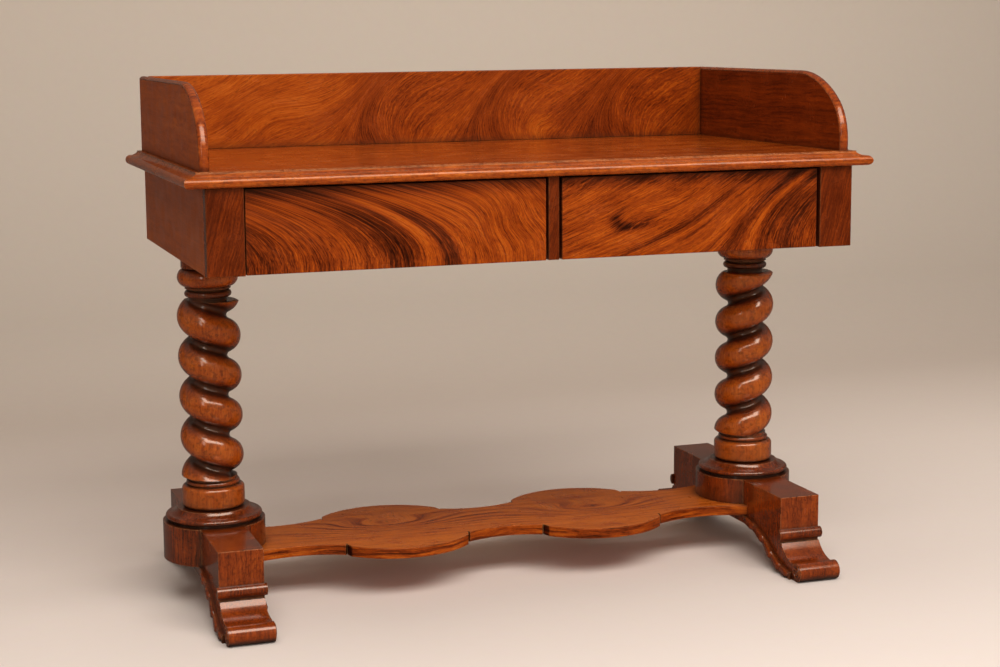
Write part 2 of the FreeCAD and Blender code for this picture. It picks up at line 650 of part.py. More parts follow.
def make_foot(side, sign):
    """A trestle foot: its bar with scrolled toes, the leafed strap under it and the drum cheeks."""
    toe = d.foot_half_length - d.toe_radius
    bead_low = d.foot_bead_top - d.foot_bead_height
    cove_top = bead_low - d.foot_groove
    roll_slant = math.radians(TOE_ROLL_SLANT)
    roll_top = (toe - d.toe_radius * math.sin(roll_slant), d.toe_radius * (1 + math.cos(roll_slant)))
    throat = block_half_length + d.foot_groove
    cove_middle = (throat + (roll_top[0] - throat) * TOE_COVE, roll_top[1] + d.cove_sag)
    flat, under = arch_line(d.strap_thickness)
    front = [[(block_half_length, cove_top)], [(throat, cove_top)], [cove_middle, roll_top],
             [(d.foot_half_length, d.toe_radius), (toe, ZERO)],
             [(under[1][1][0], ZERO)], [under[1][1]],
             [under[1][0], under[0][1]], [under[0][0], flat]]
    corner = (block_half_length, d.foot_height)
    start = (-block_half_length, d.foot_height)
    steps = [[corner]] + front + [[(-flat[0], flat[1])]] + mirrored(corner, front)
    bar = padded(f"foot_bar_{side}_blank", "YZ_Plane", start, steps, d.foot_width,
                 (column_x * sign - foot_side, ZERO, ZERO))
    roll_side = foot_side + d.toe_overhang
    scrolled = doc.addObject("Part::MultiFuse", f"foot_bar_{side}_scrolled")
    scrolled.Shapes = [bar] + [dowel(f"foot_bar_{side}_roll_{end_name}", d.toe_radius, roll_side * 2,
                                     (column_x * sign - roll_side, toe * end, d.toe_radius))
                               for end, end_name in ENDS]
    socket = post(f"foot_bar_{side}_socket", d.tenon_radius + d.tenon_fit,
                  (column_x * sign, ZERO, d.foot_height - d.foot_tenon - d.tenon_fit), d.foot_tenon * 2)
    keep(cut(f"foot_bar_{side}", scrolled, [socket]))
    bead_side = foot_side + d.foot_bead_overhang
    beads = doc.addObject("Part::Compound", f"foot_beads_{side}")
    bead_nose, bead_middle = block_half_length + d.foot_bead_bulge, bead_low + d.foot_bead_height / 2
    beads.Links = [padded(f"foot_bead_{side}_{end_name}", "YZ_Plane", (block_half_length * end, bead_low),
                          [[(bead_nose * end, bead_middle), (block_half_length * end, d.foot_bead_top)],
                           [(block_half_length * end, bead_low)]],
                          bead_side * 2, (column_x * sign - bead_side, ZERO, ZERO))
                   for end, end_name in ENDS]
    keep(beads)
    make_strap(side, sign)
    bottom = d.arch_height + d.strap_thickness
    half = d.drum_radius.leg(foot_side)
    stretcher_top = bottom + d.stretcher_thickness
    for place_name, outward, low in (("outer", sign, bottom), ("inner", -sign, stretcher_top)):
        cheek = padded(f"drum_cheek_{place_name}_{side}", "XY_Plane", (foot_side * outward, -half),
                       [[(d.drum_radius * outward, ZERO), (foot_side * outward, half)],
                        [(foot_side * outward, -half)]],
                       d.foot_height - low, (column_x * sign, ZERO, low))
        keep(cheek)


def make_strap(side, sign):
    """The arched strap under a foot, a little wider than the bar, with a leafed lower edge."""
    flat_low, low = arch_line(ZERO)
    flat_high, high = arch_line(d.strap_thickness)
    upper_half = [[high[1][1]], [high[1][0], high[0][1]], [high[0][0], flat_high]]
    lower_half = [[low[0][0], low[0][1]], [low[1][0], low[1][1]]]
    right = lower_half + upper_half
    steps = [[flat_low]] + right + [[(-flat_high[0], flat_high[1])]] + mirrored(flat_low, right)
    label = f"foot_strap_{side}"
    width = d.foot_width + d.strap_projection * 2
    blank = padded(f"{label}_blank", "YZ_Plane", (-flat_low[0], flat_low[1]), steps, width,
                   (column_x * sign - width / 2, ZERO, ZERO))
    leaves = []
    for end, end_name in ENDS:
        for number in range(LEAVES_PER_SIDE):
            share = LEAF_START + (LEAF_END - LEAF_START) * number / (LEAVES_PER_SIDE - 1)
            reach, level = arch_point(share, d.leaf_radius * -LEAF_SINK)
            leaves.append(dowel(f"{label}_leaf_{end_name}_{number + 1}", d.leaf_radius, width * 2,
                                (column_x * sign - width, reach * end, level)))
    keep(cut(label, blank, leaves))


def make_stretcher():
    """The shaped stretcher board: a waist, two lobes with notched shoulders and flared ends."""
    end = column_x - foot_side
    bottom = d.arch_height + d.strap_thickness
    lobe_reach = (d.waist_notch_reach + d.end_notch_reach) / 2
    half = [[(d.waist_notch_reach, d.waist_notch_width + d.notch_step)],
            [(lobe_reach, d.lobe_width), (d.end_notch_reach, d.end_notch_width + d.notch_step)],
            [(d.end_notch_reach, d.end_notch_width)],
            [(end - d.neck_setback, d.stretcher_neck), (end, d.stretcher_end_width)]]
    waist = (d.waist_notch_reach, d.waist_notch_width)
    back = mirrored(waist, half) + [[(ZERO, d.stretcher_waist), waist]] + half
    start = (-end, d.stretcher_end_width)
    ends = [start] + [step[-1] for step in back]
    front = [[(end, -d.stretcher_end_width)]]
    for number in range(len(back) - 1, -1, -1):
        middle = [(x, -y) for x, y in back[number][:-1]]
        front.append(middle + [(ends[number][0], -ends[number][1])])
    keep(padded("stretcher", "XY_Plane", start, back + front + [[start]], d.stretcher_thickness,
                (ZERO, ZERO, bottom)))


drawer_spans = {"left": (d.outer_gap_left - stile_edge, muntin_left - d.muntin_gap),
                "right": (muntin_right + d.muntin_gap, stile_edge - d.outer_gap_right)}
top_fixing_holes = screws("top_fixing_screws", screw_lines(), d.kicker_thickness + d.screw_bite)
gallery_holes = screws("gallery_screws", gallery_screw_places(), d.top_thickness + d.gallery_screw_bite)
keep(cut("top_board", make_top(), top_fixing_holes + gallery_holes))
make_gallery(gallery_holes)
make_frieze(top_fixing_holes)
make_runners(drawer_spans)
for drawer_side, drawer_span in drawer_spans.items():
    make_drawer(drawer_side, *drawer_span)
for column_side, column_sign in (("left", -1), ("right", 1)):
    make_column(column_side, column_sign)
    make_collar(column_side, column_sign)
    make_foot(column_side, column_sign)
make_stretcher()

doc.recompute()
for item in doc.Objects:
    if {"Invalid", "Error"} & set(item.State):
        raise RuntimeError(f"{item.Label} failed: {item.State}")
for node in nodes:
    if node.Shape.isNull() or not node.Shape.isValid() or not node.Shape.Solids:
        raise RuntimeError(f"{node.Label} has no valid solid")
os.makedirs("parts", exist_ok=True)
for node in nodes:
    node.Shape.exportStep(f"parts/{node.Label}.step")
    box = node.Shape.optimalBoundingBox()
    print(f"{node.Label}: {len(node.Shape.Solids)} solid, {node.Shape.Volume / 1000:.1f} cm3, "
          f"x {box.XMin:.1f} to {box.XMax:.1f}, y {box.YMin:.1f} to {box.YMax:.1f}, "
          f"z {box.ZMin:.1f} to {box.ZMax:.1f}")
print(len(nodes), "pieces")
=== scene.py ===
# %% [markdown]
# # A mahogany washstand, dressed in Blender
#
# The imported model already holds every board, column and foot of the washstand at its real place and size.
# This lesson gives it what a model made for simulation lacks: the flame of the drawer fronts, the French
# polish, the worn arrises with their painted highlights and the carved toes, and a plain studio to see it in.

# %% Load the imported model
import json
import math

import bpy
import numpy as np
from mathutils import Matrix, Vector


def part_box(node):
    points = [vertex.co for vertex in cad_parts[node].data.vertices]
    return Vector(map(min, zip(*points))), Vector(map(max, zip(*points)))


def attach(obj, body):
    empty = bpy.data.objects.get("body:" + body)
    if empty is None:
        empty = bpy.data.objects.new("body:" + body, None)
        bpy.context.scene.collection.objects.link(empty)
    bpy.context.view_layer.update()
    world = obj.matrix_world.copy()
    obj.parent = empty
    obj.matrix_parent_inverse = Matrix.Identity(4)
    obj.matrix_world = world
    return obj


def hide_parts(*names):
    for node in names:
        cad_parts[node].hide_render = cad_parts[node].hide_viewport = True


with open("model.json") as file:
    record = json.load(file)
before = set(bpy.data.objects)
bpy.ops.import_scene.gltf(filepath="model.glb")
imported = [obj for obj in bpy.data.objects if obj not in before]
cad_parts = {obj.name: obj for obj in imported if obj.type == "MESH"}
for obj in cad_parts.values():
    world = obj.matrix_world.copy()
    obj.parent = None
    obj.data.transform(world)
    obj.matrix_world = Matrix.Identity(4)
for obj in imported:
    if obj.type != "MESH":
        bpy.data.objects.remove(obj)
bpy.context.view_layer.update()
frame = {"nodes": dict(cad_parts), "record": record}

MM = 0.001

# %% [markdown]
# ## Three small helpers
#
# Colours are written as the sRGB hex values that a paint card would show, while Blender's shaders work in
# linear light, so one function turns the first into the second. A second one starts a material with nothing
# in it. A third one adds a shader node: its settings go on the node, and each input is either a plain value
# or another node's output to link.

# %% Colours and shader nodes


def linear(colour):
    """An sRGB hex colour as linear RGBA: v / 12.92 near black, else ((v + 0.055) / 1.055) ^ 2.4."""
    values = np.array([int(colour[place:place + 2], 16) for place in (1, 3, 5)]) / 255
    levels = np.where(values <= 0.04045, values / 12.92, ((values + 0.055) / 1.055) ** 2.4)
    return (*levels.tolist(), 1.0)


def empty_material(name):
    """A new material and its node tree, which holds no nodes yet."""
    material = bpy.data.materials.new(name)
    material.use_nodes = True
    material.node_tree.nodes.clear()
    return material, material.node_tree


def add(tree, kind, inputs=None, stops=(), **settings):
    """A new shader node: settings on the node, values or links on its inputs, stops on its ramp."""
    node = tree.nodes.new("ShaderNode" + kind)
    for name, value in settings.items():
        setattr(node, name, value)
    for name, value in (inputs or {}).items():
        if isinstance(value, bpy.types.NodeSocket):
            tree.links.new(value, node.inputs[name])
        else:
            node.inputs[name].default_value = value
    for number, (position, colour) in enumerate(stops):
        ramp = node.color_ramp
        stop = ramp.elements[number] if number < 2 else ramp.elements.new(position)
        stop.position, stop.color = position, linear(colour)
    return node


print("mid mahogany in linear light:", np.round(linear("#86330a"), 3).tolist())

# %% [markdown]
# ## The camera
#
# The washstand is seen from its left, a little above the top. The lens is a long one, about 67 mm, so the
# upright lines stay almost upright. The camera's axes are worked out from a heading, a downward tilt and a
# small roll, which is easier to read than three Euler angles.

# %% Camera
HEADING, TILT, ROLL = (math.radians(angle) for angle in (18.048, 8.008, -0.574))
CAMERA_SPOT = (-1.1128, -3.1848, 0.9944)
SENSOR_WIDTH, FOCAL_LENGTH = 36, 66.91
SHIFT = (0.05, -0.0435)
forward = Vector((math.sin(HEADING) * math.cos(TILT), math.cos(HEADING) * math.cos(TILT), -math.sin(TILT)))
level = Vector((math.cos(HEADING), -math.sin(HEADING), 0))
upright = level.cross(forward)
right = level * math.cos(ROLL) + upright * math.sin(ROLL)
up = upright * math.cos(ROLL) - level * math.sin(ROLL)
axes = Matrix((right, up, -forward)).transposed()

lens = bpy.data.cameras.new("camera")
lens.sensor_width, lens.lens = SENSOR_WIDTH, FOCAL_LENGTH
lens.shift_x, lens.shift_y = SHIFT
camera = bpy.data.objects.new("camera", lens)
camera.matrix_world = Matrix.Translation(CAMERA_SPOT) @ axes.to_4x4()
bpy.context.scene.collection.objects.link(camera)
bpy.context.scene.camera = camera
bpy.context.scene.view_settings.view_transform = "Standard"
print("camera looks along", [round(value, 3) for value in forward])

# %% [markdown]
# ## Surfaces from grids
#
# Every new surface here is a grid of points: two parameters, u and v, and a formula for the place of each
# point. One function turns such a grid into a mesh, with the faces between neighbouring points.

# %% Mesh from arrays


def mesh_object(name, points, faces, normals=None):
    """A mesh object from an array of points and a list or array of faces, smooth shaded."""
    mesh = bpy.data.meshes.new(name)
    mesh.from_pydata(points.tolist(), [], faces if isinstance(faces, list) else faces.tolist())
    mesh.polygons.foreach_set("use_smooth", np.ones(len(mesh.polygons), bool))
    if normals is not None:
        mesh.normals_split_custom_set_from_vertices(normals.tolist())
    thing = bpy.data.objects.new(name, mesh)
    bpy.context.scene.collection.objects.link(thing)
    return thing


def grid_faces(rows, columns, start=0):
    """Quads of a grid of points stored row by row: (i, j), (i, j + 1), (i + 1, j + 1), (i + 1, j)."""
    corner = start + (np.arange(rows - 1)[:, None] * columns + np.arange(columns - 1)).ravel()
    return np.stack([corner, corner + 1, corner + columns + 1, corner + columns], axis=1)


# %% [markdown]
# ## The studio
#
# A photographer's sweep: a sheet of pale warm paper that runs along the floor and curves up behind the
# object, so that no line shows where floor and wall meet. It is a profile carried along X: a flat floor, a
# quarter circle and an upright wall.

# %% Paper sweep
FLOOR_FRONT, FLOOR_BACK, BEND, WALL_TOP, SWEEP_SIDE = -9.0, 1.6, 1.5, 3.2, 8.0
turn = np.linspace(0, math.pi / 2, 24)
bend = np.stack([FLOOR_BACK + BEND * np.sin(turn), BEND * (1 - np.cos(turn))], axis=1)
profile = np.vstack([[[FLOOR_FRONT, 0]], bend, [[FLOOR_BACK + BEND, WALL_TOP]]])
across = np.linspace(-SWEEP_SIDE, SWEEP_SIDE, 3)
sweep_points = np.column_stack([np.tile(across, len(profile)), np.repeat(profile, len(across), axis=0)])
sweep = mesh_object("paper_sweep", sweep_points, grid_faces(len(profile), len(across)))
print(f"paper sweep: {len(sweep.data.polygons)} faces")

# %% [markdown]
# The paper is matt, with a faint fibre. Its tone darkens towards the wall and is darkest in a band behind
# the object: painted shade, which stands in for the fall-off of the light and the object's soft shadow on
# the paper. In a real studio dark cloths stand beside the paper, so that polished wood doesn't mirror it as
# a pale veil; here the paper itself is darker for mirrored rays. Far from the object, where no lamp
# reaches, the camera sees an even tone, and seen from behind the paper is clear, so that the back can be
# photographed too.

# %% Paper
FAR_TONE, MIRRORED_TONE = "#c2b0a0", "#6b6058"
RAMP_START, RAMP_END = -0.6, 3.0
LIT_NEAR, LIT_FAR, SIDE_SHARE = 2.2, 4.5, 0.75
FIBRE_SIZE, FIBRE_SHARE = 25, 0.03
paper, tree = empty_material("warm_grey_paper")
place = add(tree, "TexCoord").outputs["Object"]
depth = add(tree, "SeparateXYZ", {"Vector": place}).outputs["Y"]
depth = add(tree, "MapRange", {"Value": depth, "From Min": RAMP_START, "From Max": RAMP_END})
# The ramp's darker stops towards the wall and behind the object are painted shade on the paper.
shade = add(tree, "ValToRGB", {"Fac": depth.outputs["Result"]},
            stops=((0.0, "#e2d2c6"), (1.0, "#cdbdac"), (0.35, "#d8c7b9"), (0.58, "#c6b5a6"),
                   (0.8, "#c0b0a0")))
fibre = add(tree, "TexNoise", {"Vector": place, "Scale": 1 / (FIBRE_SIZE * MM), "Detail": 3})
tint = add(tree, "Mix", {"Factor": FIBRE_SHARE, "A": shade.outputs["Color"], "B": fibre.outputs["Color"]},
           data_type="RGBA", blend_type="OVERLAY")
ray = add(tree, "LightPath")
seen = add(tree, "Mix", {"Factor": ray.outputs["Is Glossy Ray"], "A": tint.outputs["Result"],
                         "B": linear(MIRRORED_TONE)}, data_type="RGBA")
sheet = add(tree, "BsdfDiffuse", {"Color": seen.outputs["Result"]})
in_front = add(tree, "VectorMath", {0: place, 1: (SWEEP_SIDE, 0, 0)}, operation="MINIMUM")
in_front = add(tree, "VectorMath", {0: in_front.outputs[0], 1: (SIDE_SHARE, 1, 0)}, operation="MULTIPLY")
distance = add(tree, "VectorMath", {0: in_front.outputs[0]}, operation="LENGTH")
unlit = add(tree, "MapRange", {"Value": distance.outputs["Value"], "From Min": LIT_NEAR, "From Max": LIT_FAR},
            interpolation_type="SMOOTHSTEP")
unlit = add(tree, "Math", {0: unlit.outputs["Result"], 1: ray.outputs["Is Camera Ray"]}, operation="MULTIPLY")
far = add(tree, "Emission", {"Color": linear(FAR_TONE)})
sheet = add(tree, "MixShader", {0: unlit.outputs[0], 1: sheet.outputs["BSDF"], 2: far.outputs["Emission"]})
clear = add(tree, "BsdfTransparent")
behind = add(tree, "NewGeometry").outputs["Backfacing"]
either = add(tree, "MixShader", {0: behind, 1: sheet.outputs["Shader"], 2: clear.outputs["BSDF"]})
add(tree, "OutputMaterial", {"Surface": either.outputs["Shader"]})
sweep.data.materials.append(paper)
print(f"paper: {len(tree.nodes)} shader nodes")

# %% [markdown]
# The light is soft: one large sheet of diffusing cloth high in front and a narrower one to the left, which
# draw the highlights on the mouldings and the twisted columns. The other lamps only fill the shadows, so
# the polish doesn't mirror them, and one of them washes the paper behind. The room itself is dim.

# %% Lights
# name, place, target, size, power and whether polish mirrors it
LAMPS = (("key", (0.2, -2.2, 3.0), (0.1, -0.1, 0.4), (4.2, 1.7), 126, True),
         ("left_strip", (-2.2, -2.5, 1.8), (0, 0, 0.6), (0.4, 1.6), 6, True),
         ("front_fill", (0.2, -3.2, 0.9), (0, 0, 0.35), (2.4, 1.4), 20, False),
         ("right_fill", (3.2, -1.8, 1.6), (0, 0, 0.4), (1.4, 1.8), 4, False),
         ("overhead", (-1.0, 0.3, 3.4), (-1.0, 0.5, 0), (2.2, 1.8), 24, False),
         ("paper_wash", (2.0, 0.9, 3.0), (2.0, 3.1, 0.5), (3.6, 0.8), 30, False))
ROOM_TONE, ROOM_STRENGTH = "#d8cdc4", 0.25
for name, spot, target, size, power, mirrored in LAMPS:
    lamp = bpy.data.lights.new(name, "AREA")
    lamp.shape, lamp.size, lamp.size_y = "RECTANGLE", *size
    lamp.energy = power
    holder = bpy.data.objects.new(name, lamp)
    holder.visible_glossy = mirrored
    aim = (Vector(target) - Vector(spot)).to_track_quat("-Z", "Y")
    holder.matrix_world = Matrix.Translation(spot) @ aim.to_matrix().to_4x4()
    bpy.context.scene.collection.objects.link(holder)
world = bpy.data.worlds.new("dim_room")
world.use_nodes = True
tree = world.node_tree
tree.nodes.clear()
ray = add(tree, "LightPath").outputs["Is Camera Ray"]
room = add(tree, "Background", {"Color": linear(ROOM_TONE), "Strength": ROOM_STRENGTH})
far = add(tree, "Background", {"Color": linear(FAR_TONE), "Strength": 1.0})
either = add(tree, "MixShader", {0: ray, 1: room.outputs["Background"], 2: far.outputs["Background"]})
add(tree, "OutputWorld", {"Surface": either.outputs["Shader"]})
bpy.context.scene.world = world
print(f"{len(LAMPS)} lamps of {sum(lamp[4] for lamp in LAMPS)} W in all")

# %% [markdown]
# ## French-polished mahogany
#
# Mahogany is a red-brown hardwood with long dark streaks, fine lines of open pores and a silky change of
# tone from patch to patch. An image of wood would do for one board; noise that is stretched along the grain
# gives each board its own.
#
# The pattern's place comes either from the object's own coordinates, turned so that X runs along the grain,
# or, on the figured boards, from an attribute that was worked out for that board. It is then bent sideways,
# because no streak runs straight. Widths and lengths are real sizes in millimetres.

# %% Grain
SLOW_PACE = (1.6, 7, 7)
QUICK_PACE, QUICK_WANDER = (50, 125, 125), 1.5


def grain_place(tree, grain, figured):
    """Where each point lies in the wood, X along the grain: from the board's figure or its coordinates."""
    if figured:
        figure = add(tree, "Attribute", attribute_name="figure").outputs["Vector"]
        return add(tree, "VectorMath", {0: figure, 1: (1, 1, 0)}, operation="MULTIPLY").outputs[0]
    where = add(tree, "TexCoord").outputs["Object"]
    return add(tree, "Mapping", {"Vector": where, "Rotation": grain}).outputs["Vector"]


def bent_place(tree, place, swirl, line):
    """place moved across the grain by up to swirl mm in slow waves, and by 1.5 line widths in quick ones."""
    bent = place
    quick_pace = tuple(cells / line for cells in QUICK_PACE)
    for pace, wander in ((SLOW_PACE, swirl), (quick_pace, QUICK_WANDER * line)):
        cells = add(tree, "VectorMath", {0: place, 1: pace}, operation="MULTIPLY")
        noise = add(tree, "TexNoise", {"Vector": cells.outputs[0], "Scale": 1, "Detail": 2})
        shift = add(tree, "VectorMath", {0: noise.outputs["Color"], 1: (0.5, 0.5, 0.5)}, operation="SUBTRACT")
        sideways = (0, 2 * wander * MM, 2 * wander * MM)
        bent = add(tree, "VectorMath", {0: shift.outputs[0], 1: sideways, 2: bent},
                   operation="MULTIPLY_ADD").outputs[0]
    return bent


def streaks(tree, place, width, length, detail, roughness=0.55):
    """Noise whose cells are width mm across the grain and length mm along it."""
    pace = (1 / (length * MM), 1 / (width * MM), 1 / (width * MM))
    cells = add(tree, "VectorMath", {0: place, 1: pace}, operation="MULTIPLY")
    return add(tree, "TexNoise", {"Vector": cells.outputs[0], "Scale": 1, "Detail": detail,
                                  "Roughness": roughness}).outputs["Fac"]


# %% [markdown]
# The tone is one number for each point, from dark to light, which a ramp of five browns then colours. Adding
# and taking away from one number keeps every finish within the same family of browns. The twisted columns
# are darker towards their axis, which is painted shade in their grooves together with wax, and lighter on
# their rubbed crests. The top's moulding is rubbed lighter, which is partly a painted highlight. On the
# figured boards the flame is ragged along its streaks, and hair-fine pale lines follow them.

# %% Tone
TONES = ((0.08, "#260a03"), (0.95, "#c2621a"), (0.3, "#561d07"), (0.5, "#86330a"), (0.68, "#a4480d"))
MID_TONE = 0.47
PATTERN_WEIGHTS = (0.7, 1.8, 1.1, 0.6)
COLUMN_X = float(np.mean(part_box("column_right"), axis=0)[0])


def wood_tone(tree, patterns, contrast, lift):
    """MID_TONE + lift + the sum of contrast * weight * (pattern - 1/2)."""
    weights = [contrast * weight for weight in PATTERN_WEIGHTS]
    tone = MID_TONE + lift - sum(weights) / 2
    for pattern, weight in zip(patterns, weights):
        tone = add(tree, "Math", {0: pattern, 1: weight, 2: tone}, operation="MULTIPLY_ADD").outputs[0]
    return tone


def crest_tone(tree, tone, groove, crest):
    """tone - 0.42 within groove mm of the nearer column's axis, tone + 0.1 past crest mm, even between."""
    beside = add(tree, "VectorMath", {0: add(tree, "TexCoord").outputs["Object"]}, operation="ABSOLUTE")
    beside = add(tree, "VectorMath", {0: beside.outputs[0], 1: (COLUMN_X, 0, 0)}, operation="SUBTRACT")
    beside = add(tree, "VectorMath", {0: beside.outputs[0], 1: (1, 1, 0)}, operation="MULTIPLY")
    beside = add(tree, "VectorMath", {0: beside.outputs[0]}, operation="LENGTH")
    # Darker towards the axis is painted shade in the grooves, with wax; lighter past the crest is rubbed
    # wear.
    rubbed_and_shaded = add(tree, "MapRange", {"Value": beside.outputs["Value"], "From Min": groove * MM,
                                    "From Max": crest * MM, "To Min": -0.42, "To Max": 0.1})
    return add(tree, "Math", {0: tone, 1: rubbed_and_shaded.outputs["Result"]}, operation="ADD").outputs[0]


def moulding_share(tree, rim):
    """0 on the flat of a top and 1 on its moulding, 4 mm past the half length and half depth in rim."""
    past = add(tree, "VectorMath", {0: add(tree, "TexCoord").outputs["Object"]}, operation="ABSOLUTE")
    past = add(tree, "VectorMath", {0: past.outputs[0], 1: (*rim, 0)}, operation="SUBTRACT")
    past = add(tree, "SeparateXYZ", {"Vector": past.outputs[0]})
    past = add(tree, "Math", {0: past.outputs["X"], 1: past.outputs["Y"]}, operation="MAXIMUM")
    return add(tree, "MapRange", {"Value": past.outputs[0], "From Max": 4 * MM}).outputs["Result"]


def flame_tone(tree, tone, bent):
    """tone less the figure's flame, times a ragged 0.16 to 0.34, plus 0.13 where a noise crosses 1/2."""
    figure = add(tree, "Attribute", attribute_name="figure").outputs["Vector"]
    flame = add(tree, "SeparateXYZ", {"Vector": figure}).outputs["Z"]
    ragged = add(tree, "MapRange", {"Value": streaks(tree, bent, 4, 110, 3, 0.6), "From Min": 0.62,
                                    "From Max": 0.38, "To Min": 0.16, "To Max": 0.34})
    dark = add(tree, "Math", {0: flame, 1: ragged.outputs["Result"]}, operation="MULTIPLY")
    tone = add(tree, "Math", {0: tone, 1: dark.outputs[0]}, operation="SUBTRACT").outputs[0]
    crossing = add(tree, "Math", {0: streaks(tree, bent, 4, 90, 2), 1: 0.5}, operation="SUBTRACT")
    crossing = add(tree, "Math", {0: crossing.outputs[0]}, operation="ABSOLUTE")
    hairs = add(tree, "MapRange", {"Value": crossing.outputs[0], "From Min": 0.04, "From Max": 0.0,
                                   "To Max": 0.13})
    return add(tree, "Math", {0: tone, 1: hairs.outputs["Result"]}, operation="ADD").outputs[0]


print(f"column axes at x = {COLUMN_X / MM:.1f} mm either side")

# %% [markdown]
# Shellac polish fills the pores, deepens the colour and leaves a soft gloss. Long use then wears the arrises
# pale, knocks dark nicks into them and leaves dark, matt wax in the corners. The pale arrises are also a
# painted highlight, and the dark corners are also painted shade. A corner is where other faces stand close
# by, which ambient occlusion measures. An arris is where the normal that is rounded over a few millimetres
# differs from the face's own. Both are found by the shader, so no mesh has to be painted.

# %% Polish
PORE_WIDTH, PORE_LENGTH, MOTTLE_SIZE, NICK_SIZE, ARRIS = 1.4, 8, 45, 7, 2.5
PORE_STAIN, WAX_AND_SHADE_TONE, BARE_WOOD_AND_HIGHLIGHT, SHELLAC = "#2a0e07", "#200a04", "#c98a55", "#ffc896"
RIM_RUB_AND_HIGHLIGHT, RIM_SPECKS = 0.04, 0.34


def polished_mahogany(name, grain=(0, 0, 0), figured=False, swirl=14, band=30, line=5, stretch=20,
                      contrast=1.0, lift=0.0, gloss=0.22, shine=0.4, coat=0.0, wear_and_highlight=0.5, wax_and_shade_depth=0.6, reach=18,
                      specks=0.0, crests=None, rim=None):
    """Mahogany with streaks of band and line mm, whose grain is turned from X by three angles.

    swirl is how many mm the streaks wander, stretch a line's length over its width, coat how thick the
    shellac is, wear_and_highlight how pale the arrises are, as wear and painted highlight,
    wax_and_shade_depth and reach how dark and how wide the corners are, as wax and painted shade, specks how
    dark the knocks away from the arrises are. crests is for crest_tone and rim for moulding_share.
    """
    material, tree = empty_material(name)
    place = grain_place(tree, grain, figured)
    bent = bent_place(tree, place, swirl, line)
    bands = streaks(tree, bent, band, 0.6 * stretch * band, 2)
    lines = streaks(tree, bent, line, stretch * line, 4, 0.65)
    pores = streaks(tree, bent, PORE_WIDTH, PORE_LENGTH, 2)
    mottle = add(tree, "TexNoise", {"Vector": place, "Scale": 1 / (MOTTLE_SIZE * MM), "Detail": 2})
    mottle = mottle.outputs["Fac"]
    tone = wood_tone(tree, (bands, lines, pores, mottle), contrast, lift)
    if crests:
        tone = crest_tone(tree, tone, *crests)
    if rim:
        moulding = moulding_share(tree, rim)
        # The moulding is lighter: rubbed wear, and a painted highlight along the nose.
        tone = add(tree, "Math", {0: moulding, 1: RIM_RUB_AND_HIGHLIGHT, 2: tone}, operation="MULTIPLY_ADD").outputs[0]
        specks = add(tree, "Math", {0: moulding, 1: RIM_SPECKS}, operation="MULTIPLY").outputs[0]
    if figured:
        tone = flame_tone(tree, tone, bent)

    open_pores = add(tree, "MapRange", {"Value": pores, "From Min": 0.6, "From Max": 0.7, "To Max": 0.7})
    # Darker, matt corners from ambient occlusion: wax, and painted shade where other faces stand close by.
    corner = add(tree, "AmbientOcclusion", {"Distance": reach * MM}, samples=6)
    wax_and_shade = add(tree, "MapRange", {"Value": corner.outputs["AO"], "From Min": 0.92, "From Max": 0.35,
                                  "To Max": wax_and_shade_depth})
    # Pale arrises: real wear, and a painted highlight along each arris.
    rounded = add(tree, "Bevel", {"Radius": ARRIS * MM}, samples=4)
    face = add(tree, "NewGeometry").outputs["Normal"]
    even = add(tree, "VectorMath", {0: rounded.outputs["Normal"], 1: face}, operation="DOT_PRODUCT")
    arris_rub_and_highlight = add(tree, "MapRange", {"Value": even.outputs["Value"], "From Min": 0.985, "From Max": 0.85,
                                 "To Max": wear_and_highlight})
    pale = add(tree, "Math", {0: arris_rub_and_highlight.outputs["Result"], 1: lines}, operation="MULTIPLY")
    nicks = add(tree, "TexNoise", {"Vector": place, "Scale": 1 / (NICK_SIZE * MM), "Detail": 3})
    nicks = add(tree, "MapRange", {"Value": nicks.outputs["Fac"], "From Min": 0.53, "From Max": 0.6,
                                   "To Max": 0.9})
    knocked = add(tree, "Math", {0: arris_rub_and_highlight.outputs["Result"], 1: specks}, operation="MAXIMUM")
    nicks = add(tree, "Math", {0: nicks.outputs["Result"], 1: knocked.outputs[0]}, operation="MULTIPLY")
    wood = add(tree, "ValToRGB", {"Fac": tone}, stops=TONES).outputs["Color"]
    # Mixed in: pore stain, the corners' wax and painted shade, the arrises' pale wear and painted highlight,
    # nicks.
    for share, stain in ((open_pores.outputs["Result"], PORE_STAIN), (wax_and_shade.outputs["Result"], WAX_AND_SHADE_TONE),
                         (pale.outputs[0], BARE_WOOD_AND_HIGHLIGHT), (nicks.outputs[0], PORE_STAIN)):
        wood = add(tree, "Mix", {"Factor": share, "A": wood, "B": linear(stain)},
                   data_type="RGBA").outputs["Result"]

    sheen = add(tree, "MapRange", {"Value": mottle, "From Min": 0.3, "From Max": 0.7,
                                   "To Min": gloss - 0.06, "To Max": gloss + 0.08})
    matt = add(tree, "Math", {0: wax_and_shade.outputs["Result"], 1: 0.35, 2: sheen.outputs["Result"]},
               operation="MULTIPLY_ADD")
    height = add(tree, "Math", {0: pores, 1: -0.5, 2: lines}, operation="MULTIPLY_ADD")
    relief = add(tree, "Bump", {"Height": height.outputs[0], "Strength": 0.12, "Distance": 0.4 * MM,
                                "Normal": rounded.outputs["Normal"]})
    polish = add(tree, "BsdfPrincipled", {"Base Color": wood, "Roughness": matt.outputs[0], "IOR": 1.5,
                                          "Specular IOR Level": shine, "Specular Tint": linear(SHELLAC),
                                          "Coat Weight": coat, "Coat Roughness": 0.12,
                                          "Normal": relief.outputs["Normal"]})
    add(tree, "OutputMaterial", {"Surface": polish.outputs["BSDF"]})
    return material
